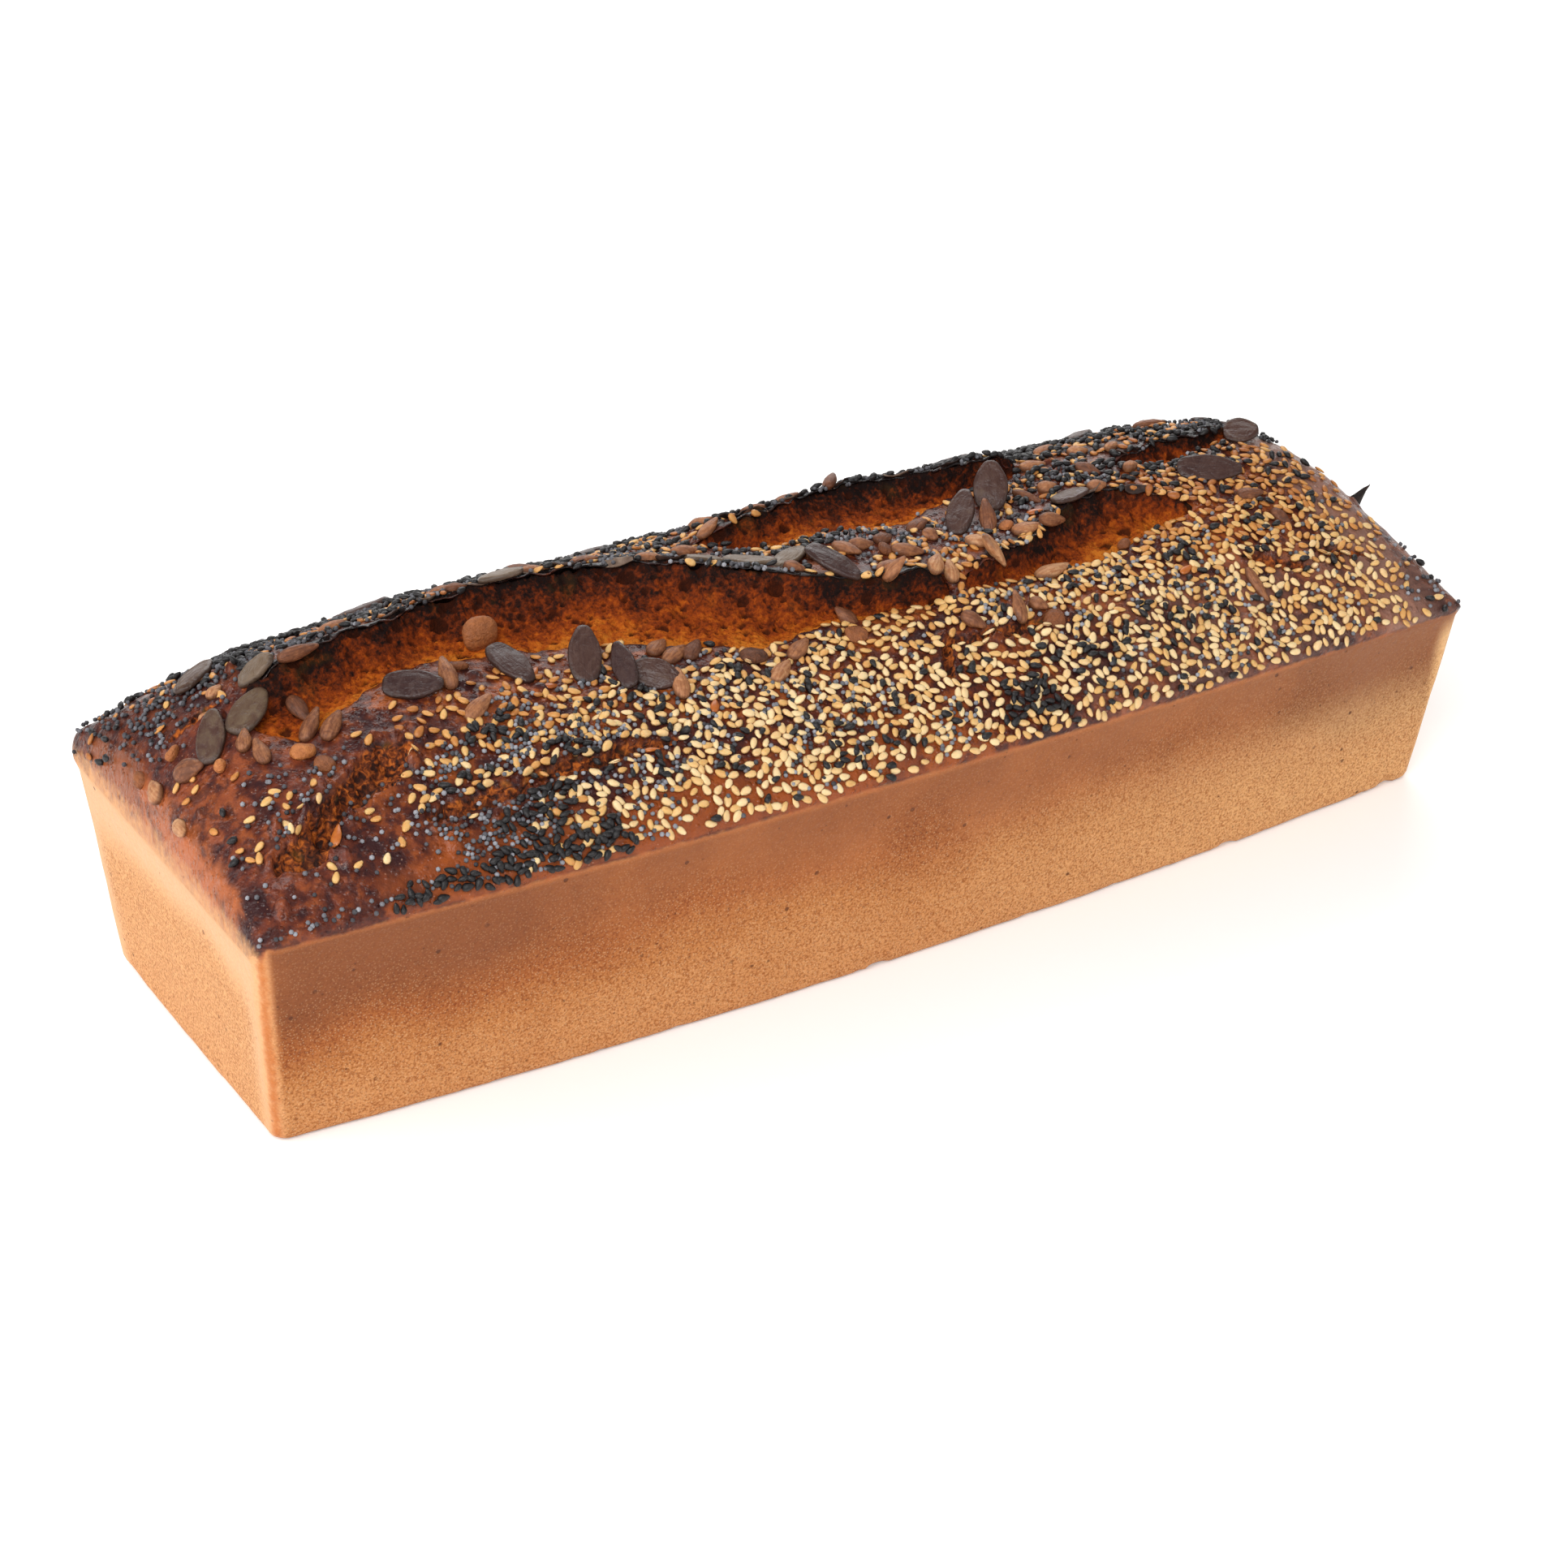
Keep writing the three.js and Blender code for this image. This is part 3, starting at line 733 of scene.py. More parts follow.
def topShares(x, y):
    # the top's own values, from 0 to 1
    endGap = halfLength - np.abs(x)
    sideGap = halfWidthAt(x) - np.abs(y)
    fadeLength = mix(4.4, 3, smooth((x + 20) / 40))
    return {
        "topShare": smooth(np.minimum(sideGap / 0.2 + 0.8, (endGap + 1.8) / fadeLength)),
        "torn": tornShare(x, y),
        "deep": tornShare(x, y, 0.6, 0.6),
        "leftward": smooth((-112 - x) / 44),
        "rightward": rightShare(x, y),
        "charred": charShare(x, y),
        "glazed": smooth(1.2 - sideGap / 14) * smooth((40 - x) / 60) * (0.25 + 0.75 * smooth((x + 150) / 24)),
        "rolled": smooth(1.2 - endGap / 6) * smooth((sideGap - 2) / 14),
        "nearRim": smooth((20 - x) / 80) * smooth((endGap - 1) / 6),
        "browned": 0.3 + 0 * x,
        "sandy": 0.2 + 0 * x,
        # the end walls' pale tone, partly painted sheen, runs a little onto the top
        "endWallPaleAndSheen": 0.7 - 0.7 * smooth(endGap / fadeLength),
    }


def wallShares(x, y, z):
    # the walls' own values: t is 0 at the floor and 1 at the rim, onEnd is 1 on the end walls
    t = z / rimAt(x)
    fromEnd = mix(form["floorLength"], loafLength, t) / 2 - np.abs(x)
    fromSide = mix(form["floorWidth"], endWidth, t) / 2 - np.abs(y)
    onEnd = smooth((4 - fromEnd) / 3)
    # the top's colours run down over the rim: 1.5 mm at the sides, up to 4 mm in waves at the ends
    below = rimAt(x) - z - form["endShoulder"] * onEnd
    waves = 0.5 * softNoise(x, y, 0, 15, 87) + 0.35 * softNoise(x, y, 0, 5, 88)
    # the low half of the front wall pales to the right, partly real tone and partly painted light, and most of
    # all beside the right corner, where it is a painted highlight
    paleLowAndLit = smooth((x + 40) / 200) * (1 - 0.9 * smooth((t - 0.42) / 0.35))
    cornerHighlight = 1.9 * smooth((x - 162) / 7) * (1 - smooth((t - 0.78) / 0.2))
    # brown: a soft cloudy band from the rim down, deepest near the loaf's ends, and little on the end walls
    depth = 0.46 + 0.14 * smooth((-60 - x) / 80) + 0.12 * smooth((x - 95) / 50)
    strength = 0.5 + 0.22 * smooth((-70 - x) / 60) * smooth((x + 174) / 16) + 0.42 * smooth((x - 95) / 50)
    cloud = 0.1 * softNoise(x, 0, 0, 46, 83) + 0.05 * softNoise(x, z, 0, 14, 84)
    band = 0.14 + 0.2 * t + strength * smooth((t - (1 - depth) + 0.3 + cloud) / 0.6)
    # grainy, but smooth near the rim and beside the end walls' upright corners
    uneven = 0.12 * softNoise(x, y, z, 20, 86)
    endSand = smooth((0.8 - t + uneven) / 0.2) * smooth((fromSide - 4 * onEnd) / 6)
    # a painted sheen: a smooth pale stripe on each end wall, below the rim and beside the corners
    level = np.exp(-(((z - rimAt(x) + 12) / 5) ** 2)) * smooth((fromSide - 4) / 6)
    upright = np.exp(-(((fromSide - 7.5) / 3.5) ** 2)) * smooth(t / 0.4)
    # an edge along the four upright corners, faint on the right ones
    edge = smooth(1.4 - np.maximum(fromEnd, fromSide) / 2.8) * (0.1 + 0.9 * smooth((60 - x) / 60))
    return {
        "topShare": smooth(mix(1.1 - below / 1.6, 0.4 + waves - below / 4, onEnd)),
        "rolled": 1.5 * smooth((z - 48) / 6),
        # the top 3 mm of the walls, reddish and darker: partly real colour, partly painted shade under the
        # overhang
        "nearRim": smooth(1 - (rimAt(x) - z) / 3) * (0.55 + 0.45 * smooth((20 - x) / 80)),
        "wallEdge": edge,
        "browned": mix(band, 0.04 + 0.2 * smooth((t - 0.8) / 0.2), onEnd),
        # paler to the right: partly real tone, partly painted light, a painted highlight beside the right
        # corner
        "palerAndLit": np.maximum(paleLowAndLit, cornerHighlight),
        "sandy": 0.2 + 0.8 * mix(smooth((0.94 - t + uneven) / 0.5), endSand, onEnd),
        # where the painted sheen lies on the end walls
        "paintedSheen": onEnd * np.maximum(level, upright),
        # paler on the end walls: partly real tone, partly painted sheen
        "endWallPaleAndSheen": onEnd,
        "foot": smooth(1 - z / 2.6),
    }


def wallPoints(shareX, shareY, x, top):
    # the rim's ring of points repeated at each level up from the floor, pushed in by low relief, by the
    # broken bottom edge and by the nicks
    fillet = form["floorFillet"]
    foot = np.array(body["footLevels"]) * fillet
    rise = mix(fillet, form["rimHeight"], np.arange(1, body["wallRows"]) / body["wallRows"])
    rings = []
    for level in np.concatenate([foot, rise]):
        share = (level - fillet) / (form["rimHeight"] - fillet)
        height = mix(fillet, top, share) if share > 0 else level + 0 * x
        px, py = outlinePoint(shareX, shareY, height, x)
        outX = px - np.clip(px, body["coreInset"] - halfLength, halfLength - body["coreInset"])
        outY = py - np.clip(py, -body["coreReach"], body["coreReach"])
        away = np.maximum(np.hypot(outX, outY), 1e-6)
        push = body["wallRelief"] * (roughNoise(px, py, height, 13, 61, 3) - 1)
        jagged = np.clip(softNoise(px, py, 0, 3.4, 66) - 0.25, 0, 1) * smooth(1 - height / 1.6)
        push = push - body["jags"] * jagged
        for nick in body["nicks"]:
            near = 1 - ((px - nick) / body["nickReach"]) ** 2 - (height / body["nickHeight"]) ** 2
            push = push - body["nickDepth"] * np.sqrt(np.clip(near, 0, 1) * (py < 0))
        push = push * smooth((rimAt(x) - height) / 3) / away
        rings.append((px + outX * push, py + outY * push, height))
    return [np.concatenate(v) for v in zip(*rings)]


def wallFaces(ring, start, levels):
    # quads from each level up to the next, from the last one up to the rim's own points, then the bottom
    around = len(ring)
    step = np.arange(around)
    following = (step + 1) % around
    faces = []
    for level in range(levels):
        below = start + level * around
        above = ring if level == levels - 1 else below + around + step
        faces += np.stack([below + step, below + following, above[following], above[step]], 1).tolist()
    return faces + [(start + step[::-1]).tolist()]


def loafBody():
    u = np.linspace(-1, 1, body["columns"])
    xShare = mix(u, np.sin(u * math.pi / 2), body["endCrowding"])
    x = xShare * halfLength
    y, z = topRows(x)
    columns, rows = y.shape
    xGrid, shareGrid = [np.repeat(v[:, None], rows, 1) for v in (x, xShare)]
    yShare = y / halfWidthAt(x)[:, None]
    topX, topY = outlinePoint(shareGrid, yShare, rimAt(xGrid), xGrid)
    # where a rounded corner has moved a point, its height is worked out again, and the edge is the rim's
    moved = (np.hypot(topX - xGrid, topY - y) > 0.02) | (np.abs(shareGrid) > 0.97)
    topZ = np.where(moved, topAt(topX, topY), z)
    inner = np.zeros_like(moved)
    inner[1:-1, 1:-1] = True
    topZ = np.where(inner, topZ, rimAt(xGrid) - shoulderDrop(topX, topY))

    # the rim's points in order round the loaf, seen from above turning left
    number = np.arange(columns * rows).reshape(columns, rows)
    ring = np.concatenate([number[:-1, 0], number[-1, :-1], number[:0:-1, -1], number[0, :0:-1]])
    wall = wallPoints(*[v.ravel()[ring] for v in (shareGrid, yShare, xGrid, topZ)])
    points = np.concatenate([np.stack([topX.ravel(), topY.ravel(), topZ.ravel()], 1), np.stack(wall, 1)])
    faces = gridFaces(columns, rows).tolist() + wallFaces(ring, columns * rows, len(wall[0]) // len(ring))
    # a value that the top or the walls don't have is 0 there
    above = topShares(topX.ravel(), topY.ravel())
    below = wallShares(*wall)
    none = np.zeros(columns * rows), np.zeros(len(wall[0]))
    values = {}
    for key in {**above, **below}:
        values[key] = np.concatenate([above.get(key, none[0]), below.get(key, none[1])])
    return meshFrom("loafCrust", points, faces, crustFinish(), values)


loafBody()


# The open crumb: a slab under each split, its top full of pores.

crumb = {
    "cell": 0.38,
    "tuck": 1.1,  # how far the slab runs in under the back lip
    "thick": 4.5,
    "roughness": 0.8,
    "skin": [
        (0.0, tone(184, 104, 30)), (0.2, tone(168, 82, 20)), (0.46, tone(134, 56, 15)),
        (0.68, tone(92, 37, 15)), (0.84, tone(52, 24, 15)), (0.96, tone(26, 16, 14)),
    ],
    "olive": tone(150, 106, 34),
    # painted shade inside the crumb's pores
    "pore": tone(48, 18, 7),
    "speck": tone(70, 26, 10),
}


def crumbSurface(split, pair, x, share):
    # from the front lip to under the back lip, hollow between, with lumps and round pores of three sizes
    front, back, _ = lipLines(pair, x)
    y = mix(front - 0.1, back + crumb["tuck"], share)
    frontLine, backLine = curveAt(split["front"], x), curveAt(split["back"], x)
    across = np.clip((y - front) / (back - front), 0, 1)
    evenY = mix(frontLine + 1e-3, backLine - 1e-3, across)
    opened = smooth(openAt(split, x) / 0.45)
    z = plainTop(x, evenY) - 0.3 - 2.6 * (1 - opened)
    lumps = crumb["roughness"] * roughNoise(x, y, z, 5, 101, 3) + 0.32 * roughNoise(x, y, z, 1.7, 105, 2)
    lumps = lumps + 1.7 * smooth((across - 0.6) / 0.4) * opened  # it climbs to meet the crust's underside
    inside = smooth(share / 0.08)
    big = pocketDepth(x * 0.75, y, z, 4.2, 0.08, 0.46, 111)
    small = pocketDepth(x * 0.85, y, z, 1.9, 0.2, 0.55, 121)
    tiny = pocketDepth(x, y, z, 1.15, 0.26, 0.62, 125)
    pores = np.maximum(np.maximum(big * 1.2, small * 1.1), tiny * 0.9)
    bake = across + split["baked"] + 0.22 * roughNoise(x, y, z, 9, 131, 3)
    return y, z + (lumps - pores) * inside, bake, pores


def crumbFinish():
    f = Finish("openCrumb", 0.85, 0.08)
    fine = f.noise(1.0, 4, 0.4)
    bake = f.swayed(f.swayed("bake", fine, 0.9), f.noise(2.6, 4, 0.8), 0.9)
    colour = f.ramp(bake, crumb["skin"])
    colour = f.blend(f.spread(f.noise(8, 2), 0.56, 0.72, 0.0, 0.06), colour, crumb["olive"])
    # painted shade in the pores, darker the deeper they are
    colour = f.laid(colour, crumb["pore"], f.spread(f.value("poreShadeDepth"), 0.12, 0.95), 0.85)
    f.colour(f.laid(colour, crumb["speck"], f.spread(f.cells(1.1), 0.3, 0.14), 0.5))
    f.bumps((f.noise(0.5, 3), 0.2), (fine, 0.3))
    return f.material


def crumbSlab(split, pair):
    # each column is a closed loop: across the top, then back along the underside
    columns = int((split["to"] - split["from"]) / crumb["cell"])
    line = np.linspace(split["from"] + 0.5, split["to"] - 0.5, columns)
    front, back, _ = lipLines(pair, line)
    rows = int(np.max(back - front) * 1.25 / crumb["cell"])
    x, share = np.meshgrid(line, np.linspace(0, 1, rows), indexing="ij")
    y, z, bake, poreShadeDepth = crumbSurface(split, pair, x, share)
    x, y, bake, poreShadeDepth = [np.concatenate([v, v[:, [-1, 0]]], 1) for v in (x, y, bake, poreShadeDepth)]
    z = np.concatenate([z, z[:, [-1, 0]] - crumb["thick"]], 1)
    loop = rows + 2
    faces = gridFaces(columns, loop).tolist()
    i = np.arange(columns - 1) * loop
    faces += np.stack([i + loop - 1, i + 2 * loop - 1, i + loop, i], 1).tolist()
    faces.append(list(range(loop)))
    faces.append(list(range(columns * loop - 1, (columns - 1) * loop - 1, -1)))
    return np.stack([v.ravel() for v in (x, y, z)], 1), faces, bake.ravel(), poreShadeDepth.ravel()


def openCrumb():
    points, faces, bakes, poreShadeDepths = [], [], [], []
    start = 0
    for split in splits:
        slab, quads, bake, poreShadeDepth = crumbSlab(split, lowerPair if split in lowerPair else upperPair)
        faces += [[start + corner for corner in face] for face in quads]
        start += len(slab)
        points.append(slab)
        bakes.append(bake)
        poreShadeDepths.append(poreShadeDepth)
    values = {"bake": np.concatenate(bakes), "poreShadeDepth": np.concatenate(poreShadeDepths)}
    return meshFrom("openCrumb", np.concatenate(points), faces, crumbFinish(), values)


openCrumb()


# Seeds: one small shape for each kind, turned, sized and laid on the crust in one array.

laying = {
    "slopeStep": 1.3,  # a seed leans by the crust's slope this far either side of it
    "steepest": 2,
    "openedFrom": 0.06,  # how far open a split must be for its lips to matter
    "lipGap": 0.8,
    "lipReach": 1.6,
    "rowStep": 0.866,  # from row to row of the lattice, as a share of the spacing
    "firstRow": 0.35,
    "mostCrowded": 2.2,  # a slope shows less of itself from above, so it gets up to this many times more
    "crowdStep": 0.8,
    "splitMargin": 0.2,
    "tornLimit": 0.45,
    "passes": 6,
}


def crustNormal(x, y):
    # straight out of the crust, by its slope along X and Y
    step, steepest = laying["slopeStep"], laying["steepest"]
    alongX = (topAt(x + step, y) - topAt(x - step, y)) / (2 * step)
    alongY = (topAt(x, ontoLip(x, y + step)) - topAt(x, ontoLip(x, y - step))) / (2 * step)
    leans = [-np.clip(slope, -steepest, steepest) for slope in (alongX, alongY)]
    normal = np.stack([*leans, np.ones_like(x)], 1)
    return normal / np.linalg.norm(normal, axis=1, keepdims=True)


def crossed(a, b):
    # one unit long, and square to both
    c = np.cross(a, b)
    return c / np.linalg.norm(c, axis=1, keepdims=True)


def layOnCrust(x, y, turn, pitch, roll, above):
    # a frame on the crust: heading along the seed, side across it, up out of it; pitch lifts the tip,
    # roll tips it sideways; angles in degrees
    turn, pitch, roll = [np.radians(a)[:, None] for a in (turn, pitch, roll)]
    up = crustNormal(x, y)
    heading = np.concatenate([np.cos(turn), np.sin(turn), 0 * turn], 1)
    side = crossed(up, heading)
    heading = crossed(side, up)
    place = np.stack([x, y, topAt(x, ontoLip(x, y))], 1) + up * above[:, None]
    heading, up = heading * np.cos(pitch) + up * np.sin(pitch), up * np.cos(pitch) - heading * np.sin(pitch)
    side, up = side * np.cos(roll) + up * np.sin(roll), up * np.cos(roll) - side * np.sin(roll)
    return place, np.stack([heading, side, up], 1)


def seedShape(sides, rings, point, blunt=1.0, ridge=0.0, square=1.0):
    # a closed lens one unit long, wide and thick: rings across the length whose radius follows a half
    # circle, drawn to a point at +X; ridge lifts the middle line, square fills the section out
    t = (np.arange(1, rings + 1) / (rings + 1)) * math.pi
    along = -np.cos(t) / 2
    radius = np.sin(t) ** blunt * (1 - point * smooth((along + 0.15) / 0.65))
    a = np.arange(sides) / sides * 2 * math.pi
    across = np.sign(np.cos(a)) * np.abs(np.cos(a)) ** square
    height = np.sign(np.sin(a)) * np.abs(np.sin(a)) ** square
    y = radius[:, None] * across[None] / 2
    z = radius[:, None] * height[None] / 2 * (1 + ridge * (1 - np.abs(across[None])))
    x = np.repeat(along[:, None], sides, 1)
    points = np.concatenate([
        np.stack([x.ravel(), y.ravel(), z.ravel()], 1),
        [[-0.5, 0, 0], [0.5, 0, 0]],
    ])
    i, j = np.meshgrid(np.arange(rings - 1), np.arange(sides), indexing="ij")
    i, j = i.ravel(), j.ravel()
    k = (j + 1) % sides
    a0, a1, b0, b1 = i * sides + j, i * sides + k, (i + 1) * sides + j, (i + 1) * sides + k
    s = np.arange(sides)
    r = (s + 1) % sides
    last = (rings - 1) * sides
    butt, tip = rings * sides + 0 * s, rings * sides + 1 + 0 * s
    faces = np.concatenate([
        np.stack([a0, b1, a1], 1), np.stack([a0, b0, b1], 1),
        np.stack([butt, s, r], 1), np.stack([tip, last + r, last + s], 1),
    ])
    return points, faces


def copies(shape, sizes, place, axes):
    # every copy's points: the shape times its three sizes, along its three axes, from its place
    points, faces = shape
    scaled = points[None] * sizes[:, None]
    laid = np.einsum("npk,nkc->npc", scaled, axes) + place[:, None]
    numbers = faces[None] + (np.arange(len(place)) * len(points))[:, None, None]
    return laid.reshape(-1, 3), numbers.reshape(-1, 3)


def perPoint(values, shape):
    # each copy's value, repeated for all its points
    return np.repeat(values, len(shape[0]))


def inSplit(x, y, margin):
    # True on the crumb, and within a margin of it
    hit = np.zeros(x.shape, bool)
    for pair in (lowerPair, upperPair):
        front, back, opened = lipLines(pair, x)
        hit |= (opened > laying["openedFrom"]) & (y > front - margin) & (y < back - laying["lipGap"])
    return hit


def ontoLip(x, y):
    # where a ragged back lip reaches out past its even line, the crust's height is the line's
    for pair in (lowerPair, upperPair):
        _, back, opened = lipLines(pair, x)
        even = np.maximum(back, evenLine(pair, "back", x)) + 0.02
        near = (opened > laying["openedFrom"]) & (y > back - laying["lipReach"]) & (y < even)
        y = np.where(near, even, y)
    return y


def scatter(seed):
    # places on a six-sided lattice, each moved at random, and kept with the chance that the density and the
    # slope give, clear of the edge of the top, the crumb, the tears and larger seeds
    spacing, salt = seed["spacing"], seed["salt"]
    rowStep = spacing * laying["rowStep"]
    xs = np.arange(-halfLength, halfLength, spacing)
    ys = np.arange(laying["firstRow"] - loafWidth / 2, loafWidth / 2, rowStep)
    i, j = np.meshgrid(np.arange(len(xs)), np.arange(len(ys)), indexing="ij")

    def draw(number):
        return scrambled(i, j, 0 * i, salt + number)

    x = xs[i] + j % 2 * spacing / 2 + spacing * seed["jitter"] * (draw(0) - 0.5)
    y = ys[j] + spacing * seed["jitter"] * (draw(1) - 0.5)
    y = y * halfWidthAt(x) / (loafWidth / 2)  # the rows follow the bowed rims
    turn = 360 * draw(3)
    amount = patches(seed["patches"], x, y) * clumps(seed["clumps"], x, y)
    if "rimLine" in seed:
        amount = np.maximum(amount, rimLine(seed["rimLine"], x, y))
    step = laying["crowdStep"]
    steep = np.hypot(1, (topAt(x, y + step) - topAt(x, y - step)) / (2 * step))
    amount = amount * np.clip(steep, 1, laying["mostCrowded"])
    keep = (draw(2) < amount * spacing * rowStep) & (rimGap(x, y) > seed["margin"]) & ~covered[square(x, y)]
    keep &= ~inSplit(x, y, laying["splitMargin"]) & (tornShare(x, y) < laying["tornLimit"])
    if "apart" in seed:
        rank = draw(4) - smooth(1.4 - rimGap(x, y) / 1.2)  # the rim's own seeds go first
        keep = apartFrom(seed, x, y, turn, rank, keep)
    return x[keep], y[keep], turn[keep]


def apartFrom(seed, x, y, turn, rank, left):
    # of seeds that would overlap, the lowest in rank stays; each pass settles more of them
    def reach(turned, bearing):
        # an oval seed's reach along a bearing
        across = np.radians(turned) - bearing
        return 1 / np.hypot(np.cos(across) * 2 / seed["long"], np.sin(across) * 2 / seed["wide"])

    def other(values, shift):
        # each place's neighbour, so many places along and across
        return np.roll(values, shift, (0, 1))

    steps = int(seed["long"] / seed["spacing"]) + 1
    near = range(-steps, steps + 1)
    z = topAt(x, y)
    pairs = []
    for shift in [(a, b) for a in near for b in near if a or b]:
        aside = other(x, shift) - x
        away = np.hypot(other(y, shift) - y, other(z, shift) - z) * np.sign(other(y, shift) - y)
        bearing = np.arctan2(away, aside)
        room = reach(turn, bearing) + reach(other(turn, shift), bearing)
        pairs.append((shift, np.hypot(aside, away) < seed["apart"] * room))
    kept = np.zeros_like(left)
    for _ in range(laying["passes"]):
        beaten = np.zeros_like(left)
        for shift, close in pairs:
            beaten |= close & other(left, shift) & (other(rank, shift) < rank)
        first = left & ~beaten
        kept |= first
        left = left & ~first
        for shift, close in pairs:
            left = left & ~(close & other(first, shift))
    return kept


def patches(rows, x, y):
    # seeds in a square millimetre: the most of several soft ovals, each its middle x and y, half its length
    # and width, and its amount
    most = 0.0 * x
    for middleX, middleY, long, wide, amount in rows:
        far = ((x - middleX) / long) ** 4 + ((y - middleY) / wide) ** 4
        most = np.maximum(most, amount * np.exp(-far))
    return most


def rimLine(row, x, y):
    # a line of seeds along the front rim: from x, to x, how far in from the rim, how wide, amount
    fromX, toX, inset, wide, amount = row
    off = (y + halfWidthAt(x) - inset) / wide
    return amount * np.exp(-(off**2)) * smooth((x - fromX) / 6) * smooth((toX - x) / 10)


def drawn(count, salt, low=0.0, high=1.0):
    # a repeatable random number from low to high for each of so many seeds
    number = np.arange(count)
    return mix(low, high, scrambled(number, number * 0 + 7, number * 0, salt))


def clumps(row, x, y):
    # from the amount in the gaps to the amount in the clumps, where noise of this size goes from low to high
    size, salt, low, high, gap, full = row
    return mix(gap, full, smooth((roughNoise(x, y, 0, size, salt, 2) * 0.5 + 0.5 - low) / (high - low)))


# Small squares of the top that already hold a seed: how far they reach along and across, how many to a
# millimetre.
squares = {"along": 180, "across": 70, "fineness": 2}
covered = np.zeros([2 * squares[way] * squares["fineness"] for way in ("along", "across")], bool)


def square(x, y):
    # which square a place is in
    fineness = squares["fineness"]
    return ((x + squares["along"]) * fineness).astype(int), ((y + squares["across"]) * fineness).astype(int)


def claim(x, y, reach):
    # marks the squares within reach of each place
    i, j = square(x, y)
    steps = int(reach * squares["fineness"])
    for a in range(-steps, steps + 1):
        for b in range(-steps, steps + 1):
            if math.hypot(a, b) <= squares["fineness"] * reach:
                covered[i + a, j + b] = True


def claimLong(x, y, turn, long, wide):
    # a row of circles along each long seed
    for along, share in ((-0.36, 0.6), (-0.18, 0.9), (0, 1), (0.18, 0.9), (0.36, 0.6)):
        ahead = along * long
        claim(x + np.cos(np.radians(turn)) * ahead, y + np.sin(np.radians(turn)) * ahead, wide / 2 * share)


def smallSeeds(name, finish, shape, seed, x, y, turn, tint):
    count = len(x)
    salt = seed["salt"] + 20
    swell = drawn(count, salt, 0.86, 1.12)
    sizes = np.stack([
        seed["long"] * swell,
        seed["wide"] * swell * drawn(count, salt + 1, 0.9, 1.08),
        seed["thick"] * drawn(count, salt + 2, 0.85, 1.15),
    ], 1)
    pitch, roll = [drawn(count, salt + number, -seed["tilt"], seed["tilt"]) for number in (4, 5)]
    above = seed["thick"] * (0.5 - seed["sunk"]) + drawn(count, salt + 6, -0.08, seed["heap"])
    place, axes = layOnCrust(x, y, turn, pitch, roll, above)
    points, faces = copies(shape, sizes, place, axes)
    edge = np.clip(np.hypot(shape[0][:, 1] * 2, shape[0][:, 0] * 2), 0, 1) ** 3
    print(name, count, "seeds,", len(faces), "triangles")
    values = {"tint": perPoint(tint, shape), "edge": np.tile(edge, count)}
    return meshFrom(name, points, faces, finish, values)


def largeSeeds(name, finish, shape, seed):
    # each row: x, y, turn, pitch and roll in degrees, share of full length, of full width, shade from 0 to 1
    x, y, turn, pitch, roll, longShare, wideShare, shade = np.array(seed["places"], float).T
    count = len(x)
    salt, dent = seed["salt"], seed["dent"]
    long, wide = seed["long"] * longShare, seed["wide"] * wideShare
    thick = seed["thick"] * np.sqrt(wideShare) * drawn(count, salt, 0.9, 1.1)
    lift = np.abs(np.sin(np.radians(pitch))) * long * 0.36 + np.abs(np.sin(np.radians(roll))) * wide * 0.25
    place, axes = layOnCrust(x, y, turn, pitch, roll, thick * (0.5 - seed["sunk"]) + lift)
    points, faces = copies(shape, np.stack([long, wide, thick], 1), place, axes)
    bend = dent * softNoise(*points.T, 6, salt + 1) + 0.4 * dent * roughNoise(*points.T, 2.2, salt + 2, 2)
    points = points + bend[:, None] * np.repeat(axes[:, 2], len(shape[0]), 0)
    claimLong(x, y, turn, np.mean(long), np.mean(wide))
    along, across = np.tile(shape[0][:, 0], count), np.tile(shape[0][:, 1], count)
    values = {
        "tint": perPoint(shade, shape),
        "edge": np.clip(np.hypot(along * 2, across * 2), 0, 1) ** 4,
        "along": along + perPoint(drawn(count, salt + 3) * 9, shape),
        "across": across,
    }
    print(name, count, "pieces")
    return meshFrom(name, points, faces, finish, values)


def streaks(f, fineness):
    # noise drawn out along each seed: its own along and across as the place
    across = f.times(f.value("across"), fineness)
    place = f.make("ShaderNodeCombineXYZ", {0: f.times(f.value("along"), 2.2), 1: across}).outputs[0]
    return f.make("ShaderNodeTexNoise", {"Vector": place, "Scale": 1.0, "Detail": 3.0}).outputs["Fac"]


def edged(f, seed, tint, low, most):
    # the seed's skin colour by its tint, darkening to its edge colour from this share of the way out
    skin = f.ramp(tint, seed["skin"])
    return f.blend(f.spread(f.value("edge"), low, 1.0, 0.0, most), skin, seed["edge"])


